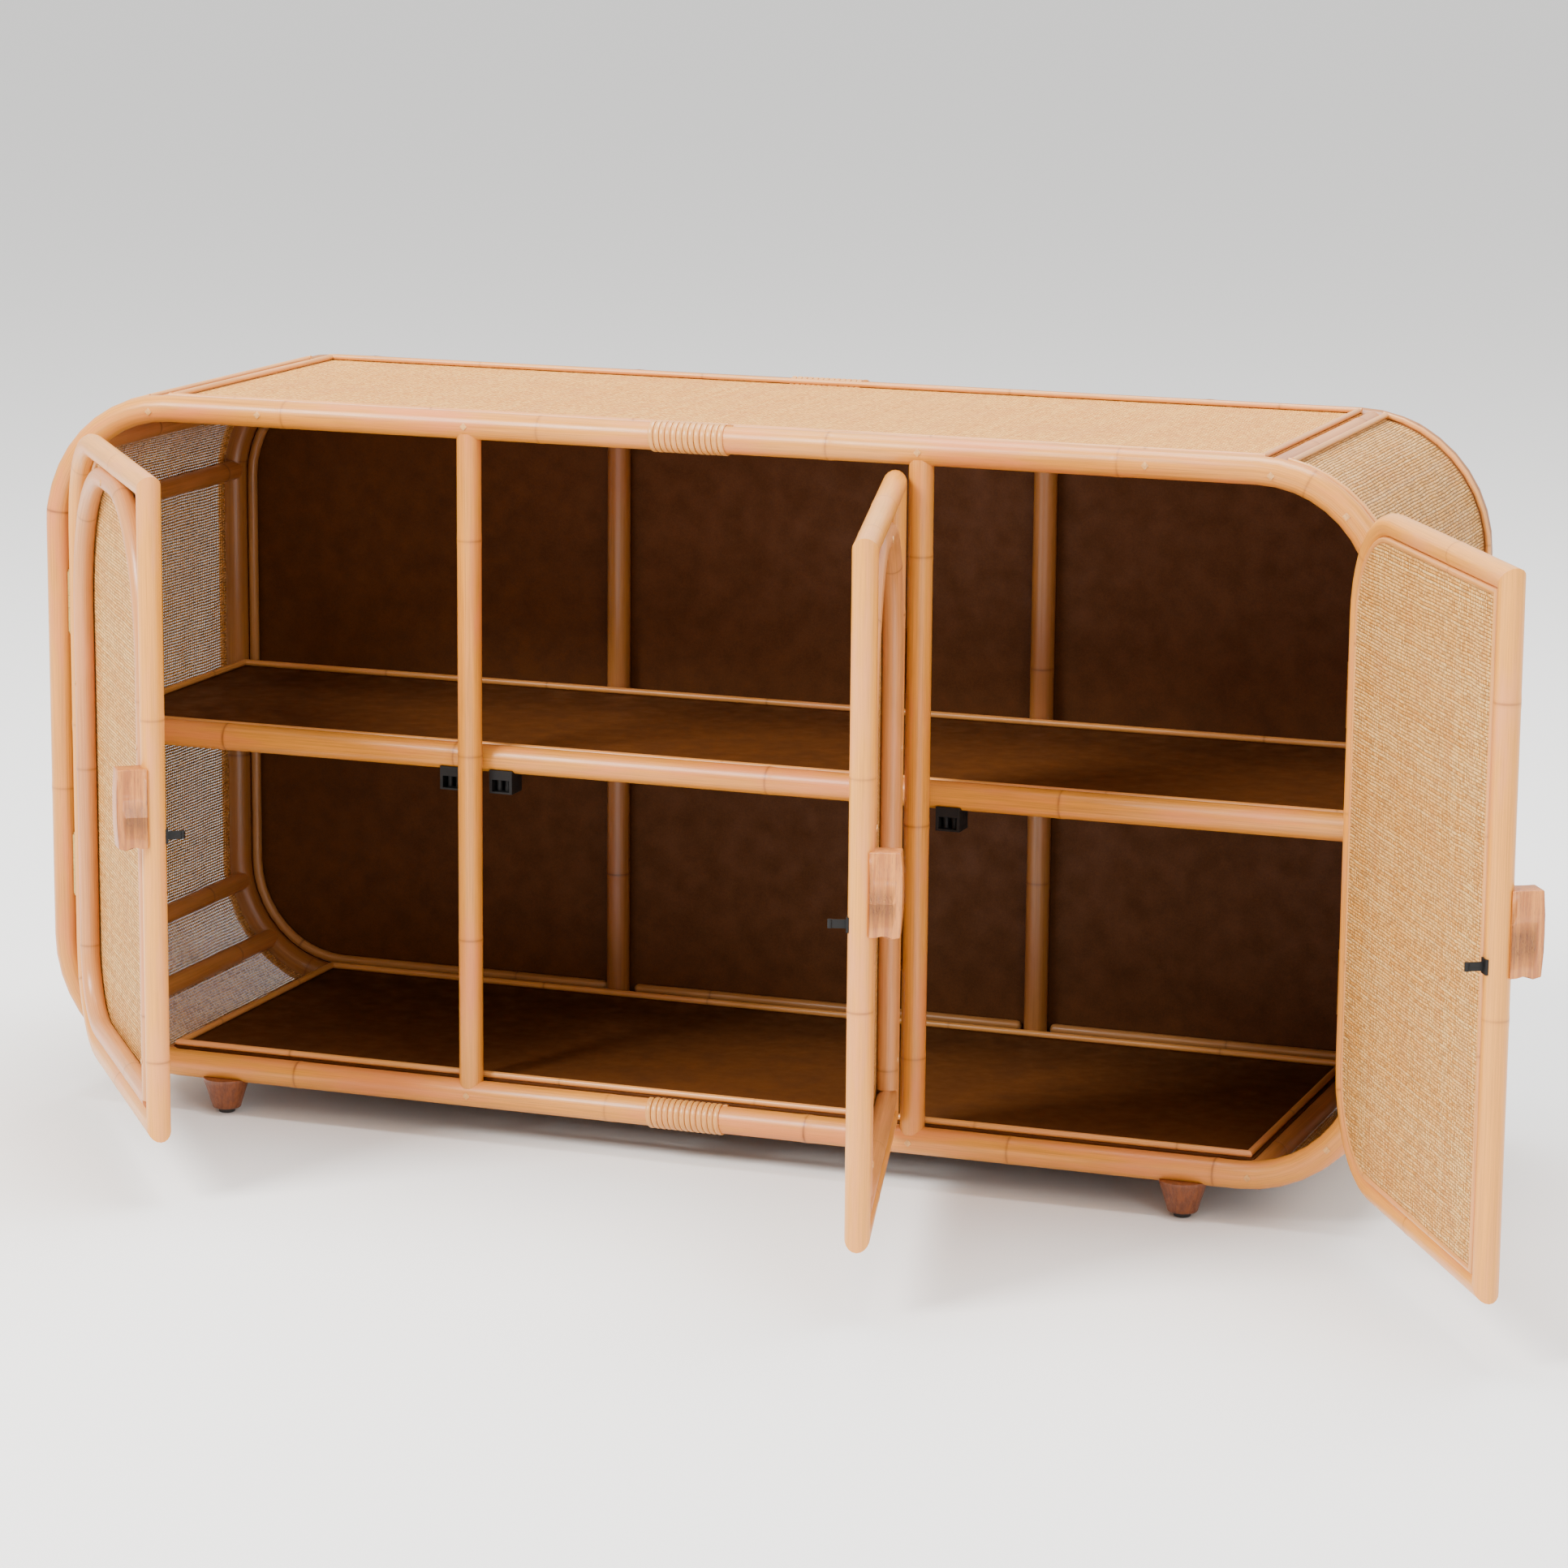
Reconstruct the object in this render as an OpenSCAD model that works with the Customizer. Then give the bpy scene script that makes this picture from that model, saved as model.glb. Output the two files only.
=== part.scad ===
// Cane shoe cabinet: two bent pole rings joined by cross poles, webbing on the
// top and the rounded ends, one shelf, and three hinged cane doors.
// Millimetres. Origin on the floor, midway in width and midway between the rings.
// +X is to the right seen from the front, +Y goes to the back, +Z is up.

/* [Cabinet] */
// Overall width across the rounded ends
cab_w = 1440; // [1240:10:1640]
// Depth across the front and back rings
cab_d = 434; // [380:2:480]
// Height from the floor to the top of the rings
cab_h = 756; // [700:2:820]
// Diameter of the ring poles
pole_d = 28; // [26:1:30]
// Radius of the rounded corners, to the middle of the pole
corner_r = 128; // [110:2:150]
// Distance from the middle of the cabinet to each upright
upright_x = 240.5; // [220:0.5:260]
// Diameter of the uprights
upright_d = 25; // [22:1:26]
// Gap between the floor and the underside of the rings
leg_h = 34; // [30:1:60]
// Thickness of the webbing
web_t = 2; // [1.5:0.5:3]

/* [Boards] */
// Height of the shelf's top face above the middle of the rings
shelf_up = 8; // [0:1:20]
// Thickness of the shelf and of the base board
board_t = 4; // [3:1:6]
// Thickness of the back board
back_t = 3.5; // [3:0.5:5]

/* [Doors] */
// Height of each door
door_h = 658; // [620:2:664]
// Diameter of the door frame poles
door_pole_d = 24; // [22:1:24]
// Diameter of the bent arch in each door
arch_d = 21; // [18:1:21]
// Corner radius of the arch's top
arch_r = 150; // [100:5:170]
// Opening angle of the left door as it stands
left_open = 52.5; // [0:0.5:110]
// Opening angle of the middle door as it stands
middle_open = 105.5; // [0:0.5:110]
// Opening angle of the right door as it stands
right_open = 121.5; // [0:0.5:125]

/* [Feet] */
// Distance from the middle of the cabinet to each foot
foot_x = 522; // [480:2:550]
// Diameter of the foot at its top
foot_top_d = 50; // [40:1:56]
// Diameter of the foot at its bottom
foot_low_d = 31; // [24:1:36]

/* [Hidden] */
$fn = 48;
pr = pole_d / 2;
hw = cab_w / 2 - pr;
hh = (cab_h - leg_h) / 2 - pr;
zc = leg_h + pr + hh;
yf = -(cab_d / 2 - pr);
yb = cab_d / 2 - pr;
ur = upright_d / 2;
// straight lengths of the ring on each side of the corners
sx = hw - corner_r;
sz = hh - corner_r;
// cross poles that run from ring to ring
cross_r = 12;
web_in = 7.5;
web_out = web_in + web_t;
// shelf
rail_y = yf + ur + pr + 0.2;
rail_z = zc + 2;
back_rail_y = yb - 28;
shelf_top = zc + shelf_up;
bearer_r = 10;
bearer_x = hw - 3;
// base board
base_top = zc - hh + pr + 0.2;
// doors
dr = door_pole_d / 2;
ar = arch_d / 2;
hinge_out = 9;
door_zc = zc;
dz = door_h / 2 - dr;
outer_lo = 256;
outer_hi = 689;
mid_half = 225;
door_corner = corner_r - (hw - (outer_hi - dr));
arch_in = dr + ar + 0.2;
arch_y = -(dr - ar);
bead_r = 3.25;
bead_in = 12.7;
bead_y = 8.6;
sheet_y0 = ar - (dr - ar) + 0.2;
sheet_t = 2.2;
sheet_in = bead_in + bead_r + 0.1;
hinge_z = 140;
leaf_h = 64;
pivot_left = [-(outer_hi + 1.5), yf - hinge_out];
pivot_mid = [mid_half + 1.5, yf - hinge_out];
pivot_right = [outer_hi + 1.5, yf - hinge_out];
catch_x = [-(outer_lo + dr), -(mid_half - dr), outer_lo + dr];
catch_z = zc - 24;
catch_y = yf + 28;

// ---- poles ---------------------------------------------------------------

// round bar along X, Y or Z
module bar_x(x0, x1, y, z, r) {
  translate([x0, y, z])
    rotate([0, 90, 0])
      cylinder(r = r, h = x1 - x0);
}

module bar_y(y0, y1, x, z, r) {
  translate([x, y0, z])
    rotate([-90, 0, 0])
      cylinder(r = r, h = y1 - y0);
}

module bar_z(z0, z1, x, y, r) {
  translate([x, y, z0])
    cylinder(r = r, h = z1 - z0);
}

// quarter bend standing in the XZ plane, from angle a0 to a0 + 90 degrees
module bend(x, y, z, rc, r, a0) {
  translate([x, y, z])
    rotate([90, 0, 0])
      rotate([0, 0, a0])
        rotate_extrude(angle = 90)
          translate([rc, 0])
            circle(r = r);
}

// right half of a ring: one pole bent twice, open at the middle of the cabinet
module half_ring(y, r) {
  bar_x(0, sx, y, zc + hh, r);
  bend(sx, y, zc + sz, corner_r, r, 0);
  bar_z(zc - sz, zc + sz, hw, y, r);
  bend(sx, y, zc - sz, corner_r, r, -90);
  bar_x(0, sx, y, zc - hh, r);
}

// the solid cutter that copes a pole's end around the rings
module ring_cut() {
  for (y = [yf, yb]) {
    half_ring(y, pr);
    mirror([1, 0, 0])
      half_ring(y, pr);
  }
}

module side(s) {
  if (s > 0) {
    children();
  } else {
    mirror([1, 0, 0])
      children();
  }
}

module front_ring_left() {
  color("#c99a5f")
    side(-1)
      half_ring(yf, pr);
}

module front_ring_right() {
  color("#c99a5f")
    half_ring(yf, pr);
}

module back_ring_left() {
  color("#b98a52")
    side(-1)
      half_ring(yb, pr);
}

module back_ring_right() {
  color("#b98a52")
    half_ring(yb, pr);
}

// flat cane wound round the two joints of each ring
module binding(y, z) {
  difference() {
    union() {
      bar_x(-40.5, 40.5, y, z, pr + 1.2);
      for (i = [0 : 12])
        bar_x(-40 + i * 6.15, -40 + i * 6.15 + 5.2, y, z, pr + 2);
    }
    bar_x(-42, 42, y, z, pr);
  }
}

// room for the bindings in the parts that run past them
module binding_room() {
  for (y = [yf, yb], v = [-1, 1])
    bar_x(-40.7, 40.7, y, zc + v * hh, pr + 2.12);
}

module ring_bindings() {
  color("#d8b27a") {
    for (y = [yf, yb]) {
      binding(y, zc + hh);
      binding(y, zc - hh);
    }
  }
}

// upright with both ends coped over the ring
module upright(x, y) {
  difference() {
    bar_z(zc - hh, zc + hh, x, y, ur);
    bar_x(x - 30, x + 30, y, zc - hh, pr);
    bar_x(x - 30, x + 30, y, zc + hh, pr);
  }
}

module upright_front_left() {
  color("#cfa067")
    upright(-upright_x, yf);
}

module upright_front_right() {
  color("#cfa067")
    upright(upright_x, yf);
}

module uprights_back() {
  color("#b98a52") {
    upright(-upright_x - 1.5, yb);
    upright(upright_x + 1.5, yb);
  }
}

// one long pole behind the uprights; it carries the shelf and stops the doors
module shelf_rail_front() {
  color("#c99a5f")
    difference() {
      bar_x(-hw, hw, rail_y, rail_z, pr);
      for (s = [-1, 1]) {
        bar_z(rail_z - 40, rail_z + 40, s * hw, yf, pr + 0.1);
        bar_y(yf, yb, s * bearer_x, zc - 3, bearer_r);
      }
    }
}

// side bearers and the rear rail under the shelf
module shelf_bearers() {
  color("#b07f4a") {
    for (s = [-1, 1])
      difference() {
        bar_y(yf, yb, s * bearer_x, zc - 3, bearer_r);
        bar_z(zc - 40, zc + 40, s * hw, yf, pr);
        bar_z(zc - 40, zc + 40, s * hw, yb, pr);
      }
    difference() {
      bar_x(-hw, hw, back_rail_y, shelf_top - board_t - bearer_r, bearer_r);
      for (s = [-1, 1])
        bar_y(yf, yb, s * bearer_x, zc - 3, bearer_r);
    }
  }
}

// six cross poles at the two rounded corners of one end
module cross_pole(x, z, r) {
  difference() {
    bar_y(yf, yb, x, z, r);
    ring_cut();
  }
}

// pole just inside the webbing of a corner, at an angle from the level
module corner_pole(v, a) {
  q = corner_r - 3.4;
  cross_pole(sx + q * cos(a), zc + v * (sz + q * sin(a)), cross_r - 1.5);
}

module cross_set() {
  for (v = [-1, 1]) {
    cross_pole(sx + 14, zc + v * (hh - 1), cross_r);
    corner_pole(v, 45);
  }
  corner_pole(1, 3.3);
  corner_pole(-1, 11.2);
}

module cross_poles_left() {
  color("#d29a78")
    side(-1)
      cross_set();
}

module cross_poles_right() {
  color("#d29a78")
    cross_set();
}

// rails under the top webbing and under the base board
module support_rails() {
  color("#c08c58")
    for (s = [-1, 1]) {
      difference() {
        bar_y(yf, yb, s * 470, zc + hh - 3.6, 10);
        for (y = [yf, yb])
          bar_x(s * 470 - 20, s * 470 + 20, y, zc + hh, pr);
      }
      difference() {
        bar_y(yf, yb, s * 470, zc - hh, 10);
        for (y = [yf, yb])
          bar_x(s * 470 - 20, s * 470 + 20, y, zc - hh, pr);
      }
    }
}

// ---- webbing -------------------------------------------------------------

web_y = yf + 12;
web_len = 2 * -web_y;

module top_panel() {
  color("#e3c89a")
    difference() {
      translate([-(sx + 3.5), web_y, zc + hh + web_in])
        cube([2 * (sx + 3.5), web_len, web_t]);
      binding_room();
    }
}

// filled outline of a rounded end, m outside the middle of the poles
module end_outline(m) {
  for (v = [-1, 1])
    translate([sx, v * sz])
      circle(r = corner_r + m);
  translate([sx, -sz])
    square([corner_r + m, 2 * sz]);
}

// one sheet bent round both corners of an end
module side_panel() {
  translate([0, web_len / 2, zc])
    rotate([90, 0, 0])
      linear_extrude(web_len)
        difference() {
          end_outline(web_in + web_t);
          end_outline(web_in);
          translate([sx - 200, -hh - 50])
            square([226.5, 2 * hh + 100]);
        }
}

module side_panel_left() {
  color("#e3c89a")
    side(-1)
      side_panel();
}

module side_panel_right() {
  color("#e3c89a")
    side_panel();
}

// half-round beads that cover the edges of the webbing
module top_beads() {
  color("#e0b98a") {
    for (s = [-1, 1]) {
      difference() {
        bar_x(-(sx + 3.8), sx + 3.8, s * (yb - 12), zc + hh + 12.4, 2.8);
        binding_room();
      }
      bar_y(yf + 15, yb - 15, s * (sx + 1), zc + hh + 12.4, 2.8);
    }
  }
}

module bead_arc(y, z, a0, a1) {
  translate([sx, y, z])
    rotate([90, 0, 0])
      rotate([0, 0, a0])
        rotate_extrude(angle = a1 - a0)
          translate([corner_r + 12.4, 0])
            circle(r = 2.8);
}

module side_beads() {
  for (y = [-(yb - 12), yb - 12]) {
    bead_arc(y, zc + sz, 0, 79);
    bead_arc(y, zc - sz, -79, 0);
    bar_z(zc - sz, zc + sz, hw + 12.4, y, 2.8);
  }
  for (v = [-1, 1])
    bar_y(yf + 15, yb - 15, sx + (corner_r + 12.4) * cos(77.7), zc + v * (sz + (corner_r + 12.4) * sin(77.7)), 2.8);
}

module side_beads_left() {
  color("#e0b98a")
    side(-1)
      side_beads();
}

module side_beads_right() {
  color("#e0b98a")
    side_beads();
}

// ---- boards --------------------------------------------------------------

shelf_y0 = rail_y + pr + 0.1;
shelf_y1 = yb - 17;
shelf_x = hw - 16;

module shelf_board() {
  color("#5b3a1e")
    translate([-shelf_x, shelf_y0, shelf_top - board_t])
      cube([2 * shelf_x, shelf_y1 - shelf_y0, board_t]);
}

base_y = -yf - ur - 0.2;
base_x = sx + 6;

module bottom_board() {
  color("#5b3a1e")
    translate([-base_x, -base_y, base_top - board_t])
      cube([2 * base_x, 2 * base_y, board_t]);
}

// back board nailed on the back of the rear ring and uprights
module back_board() {
  bw = hw - 8;
  bh = hh - 8;
  br = corner_r - 8;
  color("#4a2d17")
    difference() {
      translate([0, yb + pr - 0.8 + back_t, zc])
        rotate([90, 0, 0])
          linear_extrude(back_t)
            union() {
              square([2 * bw, 2 * (bh - br)], center = true);
              square([2 * (bw - br), 2 * bh], center = true);
              for (i = [-1, 1], j = [-1, 1])
                translate([i * (bw - br), j * (bh - br)])
                  circle(r = br);
            }
      binding_room();
    }
}

// four round beads lying flat along the edges of a board, butted at the corners
module flat_loop(x, y0, y1, z, r) {
  for (s = [-1, 1])
    bar_y(y0 - r, y1 + r, s * x, z, r);
  for (y = [y0, y1])
    bar_x(-x + r + 0.05, x - r - 0.05, y, z, r);
}

module shelf_beads() {
  color("#d7ab74")
    flat_loop(shelf_x - 4, shelf_y0 + 4, shelf_y1 - 4, shelf_top + 3.6, 3.5);
}

module bottom_beads() {
  color("#d7ab74")
    flat_loop(base_x - 6, -base_y + 5, base_y - 5, base_top + 3.6, 3.5);
}

// thin bent poles that close the gap between the rear ring and the back board
strip_r = 5.5;
strip_in = 19.4;
strip_y = yb + 6.2;

module strip_x(x0, x1, z) {
  bar_x(x0, x1, strip_y, z, strip_r);
  translate([x0, strip_y, z])
    sphere(r = strip_r);
  translate([x1, strip_y, z])
    sphere(r = strip_r);
}

module strip_side() {
  x0 = upright_x + ur + 9;
  bar_x(x0, sx, strip_y, zc + hh - strip_in, strip_r);
  bend(sx, strip_y, zc + sz, corner_r - strip_in, strip_r, 0);
  bar_z(zc - sz, zc + sz, hw - strip_in, strip_y, strip_r);
  bend(sx, strip_y, zc - sz, corner_r - strip_in, strip_r, -90);
  bar_x(x0, sx, strip_y, zc - hh + strip_in, strip_r);
  for (v = [-1, 1])
    translate([x0, strip_y, zc + v * (hh - strip_in)])
      sphere(r = strip_r);
}

module back_strips() {
  xm = upright_x - ur - 9;
  color("#a87a4b") {
    strip_side();
    side(-1)
      strip_side();
    for (v = [-1, 1])
      difference() {
        strip_x(-xm, xm, zc + v * (hh - strip_in));
        binding_room();
      }
  }
}

// ---- feet ----------------------------------------------------------------

module at_feet() {
  for (sxx = [-1, 1], y = [yf, yb])
    translate([sxx * foot_x, y, 0])
      children();
}

module feet() {
  color("#8a5a2e")
    difference() {
      at_feet()
        rotate_extrude()
          polygon([[3.2, 5], [foot_low_d / 2 - 3, 5], [foot_low_d / 2 - 0.9, 5.9], [foot_low_d / 2, 8],
                   [foot_top_d / 2, leg_h + 4], [3.2, leg_h + 4]]);
      for (s = [-1, 1], y = [yf, yb])
        bar_x(s * foot_x - 40, s * foot_x + 40, y, zc - hh, pr);
    }
}

// glide and its stud, which runs up through the foot
module foot_glides() {
  color("#1b1b1b")
    at_feet()
      rotate_extrude()
        polygon([[0, 0], [7.6, 0], [8.6, 1], [8.6, 5], [3.1, 5], [3.1, leg_h - 1], [0, leg_h - 1]]);
}

// ---- small fittings ------------------------------------------------------

// pegs whose ends show on the face of the front ring
module peg(x, z, r, len) {
  bar_y(yf - len, yf - len + 3, x, z, r);
}

module pole_pegs() {
  color("#e8cfa0")
    difference() {
      union() {
        for (s = [-1, 1]) {
          peg(s * 470, zc + hh, 3.2, 14.6);
          peg(s * 594, zc + hh - 3, 3.2, 14.6);
          peg(s * (sx + corner_r * cos(45)), zc + sz + corner_r * sin(45), 3.2, 14.6);
          peg(s * (sx + corner_r * cos(45)), zc - sz - corner_r * sin(45), 3.2, 14.6);
          peg(s * 590, zc - hh + 1, 3.2, 14.6);
          peg(s * upright_x, zc + hh, 3.2, 14.6);
          peg(s * upright_x, zc - hh, 3.2, 14.6);
        }
      }
      half_ring(yf, pr);
      mirror([1, 0, 0])
        half_ring(yf, pr);
    }
}

// double roller catches under the shelf rail
module catch_housing(x) {
  difference() {
    translate([x - 12.5, catch_y - 14, catch_z - 8])
      cube([25, 26, 26]);
    // roller space
    translate([x - 9.5, catch_y - 15, catch_z - 6.2])
      cube([19, 24, 12.4]);
    bar_x(x - 20, x + 20, rail_y, rail_z, pr);
    translate([x - 20, rail_y, rail_z - 8])
      cube([40, 40, 40]);
    translate([x - 20, catch_y - 20, rail_z - 10])
      cube([40, 40, 40]);
  }
}

module catch_housings() {
  color("#181818")
    for (x = catch_x)
      catch_housing(x);
}

module roller(x, s) {
  color("#2a2a2a")
    bar_z(catch_z - 6, catch_z + 6, x + s * 4.4, catch_y - 5, 3);
}

module roller_left_a() {
  roller(catch_x[0], -1);
}

module roller_left_b() {
  roller(catch_x[0], 1);
}

module roller_middle_a() {
  roller(catch_x[1], -1);
}

module roller_middle_b() {
  roller(catch_x[1], 1);
}

module roller_right_a() {
  roller(catch_x[2], -1);
}

module roller_right_b() {
  roller(catch_x[2], 1);
}

// ---- hinges --------------------------------------------------------------

// leaf fixed to the cabinet, with the middle knuckle and the pin; s = +1 when the
// door lies to the left of the pivot
module frame_leaf(p, z, s) {
  t = 1.2;
  translate([p[0], p[1], z]) {
    // plate let into the pole's side, behind the knuckle
    difference() {
      translate([s > 0 ? 0.15 : -t - 0.15, 1.6, -leaf_h / 2])
        cube([t, 16.6, leaf_h]);
      translate([-5, -5, -leaf_h * 0.101])
        cube([10, 8.4, leaf_h * 0.202]);
    }
    difference() {
      union() {
        for (k = [-1, 1])
          translate([0, 0, k * leaf_h * 0.3 - leaf_h * 0.2 * 0.98])
            cylinder(r = 3, h = leaf_h * 0.4 * 0.98);
      }
      cylinder(r = 1.25, h = 2 * leaf_h, center = true);
      translate([-5, -5, -leaf_h * 0.101])
        cube([10, 10, leaf_h * 0.202]);
    }
    translate([0, 0, -leaf_h / 2 - 1.5])
      cylinder(r = 1.25, h = leaf_h + 3);
    for (k = [-1, 1])
      translate([0, 0, k * (leaf_h / 2 + 0.9) - 0.9])
        cylinder(r = 2, h = 1.8);
  }
}

module frame_hinge_leaves() {
  color("#b8903c")
    for (v = [-1, 1]) {
      frame_leaf(pivot_left, zc + v * hinge_z, -1);
      frame_leaf(pivot_mid, zc + v * hinge_z, 1);
      frame_leaf(pivot_right, zc + v * hinge_z, 1);
    }
}

// leaf fixed to the door, drawn with the door to the left of the pivot, closed
module door_leaf(z) {
  t = 1.2;
  translate([0, 0, z]) {
    translate([-t - 0.15, 3.4, -leaf_h / 2])
      cube([t, 14.8, leaf_h]);
    difference() {
      union() {
        cylinder(r = 3, h = leaf_h * 0.196, center = true);
        translate([-t - 0.15, 0, -leaf_h * 0.098])
          cube([t, 4, leaf_h * 0.196]);
      }
      cylinder(r = 1.3, h = leaf_h, center = true);
    }
  }
}

// ---- doors ---------------------------------------------------------------
// A door is drawn closed, lying to the left of its pivot: x from -w - 1.5 to -1.5,
// frame centre plane at y = hinge_out, z measured from the door's middle.

function door_w(kind) = kind == "mid" ? 2 * mid_half : outer_hi - outer_lo;

// keeps the part of a pole on one side of a 45 degree mitre at (x, z)
module mitre_cut(x, z, a) {
  translate([x, hinge_out, z])
    rotate([0, a, 0])
      translate([0, -40, -60])
        cube([90, 80, 120]);
}

module door_frame(kind) {
  w = door_w(kind);
  xh = -1.5 - dr;
  xf = -1.5 - w + dr;
  if (kind == "mid") {
    for (v = [-1, 1])
      difference() {
        bar_x(xf - dr, xh + dr, hinge_out, v * dz, dr);
        mitre_cut(xh, v * dz, v * 45);
        mitre_cut(xf, v * dz, 180 - v * 45);
      }
    difference() {
      bar_z(-dz - dr, dz + dr, xh, hinge_out, dr);
      mitre_cut(xh, dz, -135);
      mitre_cut(xh, -dz, 135);
    }
  } else {
    rc = door_corner;
    for (v = [-1, 1])
      difference() {
        bar_x(xf - dr, xh - rc, hinge_out, v * dz, dr);
        mitre_cut(xf, v * dz, 180 - v * 45);
      }
    bend(xh - rc, hinge_out, dz - rc, rc, dr, 0);
    bar_z(-dz + rc, dz - rc, xh, hinge_out, dr);
    bend(xh - rc, hinge_out, -dz + rc, rc, dr, -90);
  }
}

module door_stile(kind) {
  w = door_w(kind);
  xf = -1.5 - w + dr;
  difference() {
    bar_z(-dz - dr, dz + dr, xf, hinge_out, dr);
    mitre_cut(xf, dz, -45);
    mitre_cut(xf, -dz, 45);
  }
}

// outline of the webbing and of the bead: m is the distance in from the frame's centre
module door_outline(kind, m) {
  w = door_w(kind);
  xh = -1.5 - dr - m;
  xf = -1.5 - w + dr + m;
  z = dz - m;
  if (kind == "mid") {
    translate([xf, -z])
      square([xh - xf, 2 * z]);
  } else {
    rc = door_corner - m;
    union() {
      translate([xf, -z])
        square([xh - rc - xf, 2 * z]);
      translate([xh - rc - 1, -z + rc])
        square([rc + 1, 2 * (z - rc)]);
      for (v = [-1, 1])
        translate([xh - rc, v * (z - rc)])
          circle(r = rc, $fn = 96);
    }
  }
}

module door_panel(kind) {
  translate([0, hinge_out + sheet_y0 + sheet_t, 0])
    rotate([90, 0, 0])
      linear_extrude(sheet_t)
        door_outline(kind, sheet_in);
}

module door_bead(kind) {
  w = door_w(kind);
  xh = -1.5 - dr - bead_in;
  xf = -1.5 - w + dr + bead_in;
  z = dz - bead_in;
  y = hinge_out + bead_y;
  r = bead_r;
  if (kind == "mid") {
    for (v = [-1, 1])
      bar_x(xf + r + 0.05, xh - r - 0.05, y, v * z, r);
    for (x = [xf, xh])
      bar_z(-z - 1.9, z + 1.9, x, y, r);
  } else {
    rc = door_corner - bead_in;
    for (v = [-1, 1])
      difference() {
        bar_x(xf - r, xh - rc, y, v * z, r);
        mitre_cut(xf, v * z, 180 - v * 45);
      }
    bend(xh - rc, y, z - rc, rc, r, 0);
    bend(xh - rc, y, -z + rc, rc, r, -90);
    bar_z(-z + rc, z - rc, xh, y, r);
    difference() {
      bar_z(-z - r, z + r, xf, y, r);
      mitre_cut(xf, z, -45);
      mitre_cut(xf, -z, 45);
    }
  }
}

// bent arch against the inside of the frame, with its foot piece
module door_arch(kind) {
  w = door_w(kind);
  xh = -1.5 - dr - arch_in;
  xf = -1.5 - w + dr + arch_in;
  z = dz - arch_in;
  y = hinge_out + arch_y;
  bar_x(xf + arch_r, xh - arch_r, y, z, ar);
  bend(xh - arch_r, y, z - arch_r, arch_r, ar, 0);
  bend(xf + arch_r, y, z - arch_r, arch_r, ar, 90);
  if (kind == "mid") {
    for (x = [xf, xh])
      bar_z(-z + ar, z - arch_r, x, y, ar);
    difference() {
      bar_x(xf - ar, xh + ar, y, -z, ar);
      for (x = [xf - arch_in + bead_in, xh + arch_in - bead_in])
        bar_z(-z - 16, -z + 16, x, hinge_out + bead_y, bead_r + 0.05);
    }
  } else {
    rc = door_corner - arch_in;
    bar_z(-z + ar, z - arch_r, xf, y, ar);
    bar_z(-z + rc, z - arch_r, xh, y, ar);
    bend(xh - rc, y, -z + rc, rc, ar, -90);
    difference() {
      bar_x(xf - ar, xh - rc, y, -z, ar);
      bar_z(-z - 16, -z + 16, xf - arch_in + bead_in, hinge_out + bead_y, bead_r + 0.05);
    }
  }
}

// wooden pull with finger hollows in both sides, coped round the stile
module door_handle(kind) {
  w = door_w(kind);
  xf = -1.5 - w + dr;
  translate([xf, hinge_out, 6])
    difference() {
      translate([-12.5, 0, -40])
        rotate([90, 0, 90])
          linear_extrude(25)
            polygon([[-8, 0], [-34, 0], [-36.5, 1.5], [-38, 12], [-38.4, 40],
                     [-38, 68], [-36.5, 78.5], [-34, 80], [-8, 80]]);
      translate([0, 0, -60])
        cylinder(r = dr + 0.1, h = 120);
      for (s = [-1, 1])
        translate([s * 20.6, -24, -60])
          cylinder(r = 10, h = 120);
    }
}

module door_strike(kind) {
  w = door_w(kind);
  xf = -1.5 - w + dr;
  translate([xf, hinge_out, -24]) {
    difference() {
      translate([-6, 8, -7])
        cube([12, 5.5, 14]);
      translate([0, 0, -20])
        cylinder(r = dr, h = 40);
      translate([-20, 13.1, -20])
        cube([40, 10, 40]);
    }
    translate([-1, 13.1, -4])
      cube([2, 14.4, 8]);
    translate([0, 28.2, -4])
      cylinder(r = 2.2, h = 8);
  }
}

module door_leaves() {
  for (v = [-1, 1])
    door_leaf(v * hinge_z);
}

// puts a door drawn to the left of its pivot in its place, opened by an angle
module place_left() {
  translate([pivot_left[0], pivot_left[1], door_zc])
    rotate([0, 0, -left_open])
      mirror([1, 0, 0])
        children();
}

module place_middle() {
  translate([pivot_mid[0], pivot_mid[1], door_zc])
    rotate([0, 0, middle_open])
      children();
}

module place_right() {
  translate([pivot_right[0], pivot_right[1], door_zc])
    rotate([0, 0, right_open])
      children();
}

module left_door_frame() {
  color("#dcb684")
    place_left()
      door_frame("side");
}

module left_door_stile() {
  color("#e3c090")
    place_left()
      door_stile("side");
}

module left_door_panel() {
  color("#e3c89a")
    place_left()
      door_panel("side");
}

module left_door_bead() {
  color("#d7ab74")
    place_left()
      door_bead("side");
}

module left_door_arch() {
  color("#cba274")
    place_left()
      door_arch("side");
}

module left_door_handle() {
  color("#b98562")
    place_left()
      door_handle("side");
}

module left_door_strike() {
  color("#181818")
    place_left()
      door_strike("side");
}

module left_door_leaves() {
  color("#b8903c")
    place_left()
      door_leaves();
}

module middle_door_frame() {
  color("#dcb684")
    place_middle()
      door_frame("mid");
}

module middle_door_stile() {
  color("#e3c090")
    place_middle()
      door_stile("mid");
}

module middle_door_panel() {
  color("#e3c89a")
    place_middle()
      door_panel("mid");
}

module middle_door_bead() {
  color("#d7ab74")
    place_middle()
      door_bead("mid");
}

module middle_door_arch() {
  color("#cba274")
    place_middle()
      door_arch("mid");
}

module middle_door_handle() {
  color("#b98562")
    place_middle()
      door_handle("mid");
}

module middle_door_strike() {
  color("#181818")
    place_middle()
      door_strike("mid");
}

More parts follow.
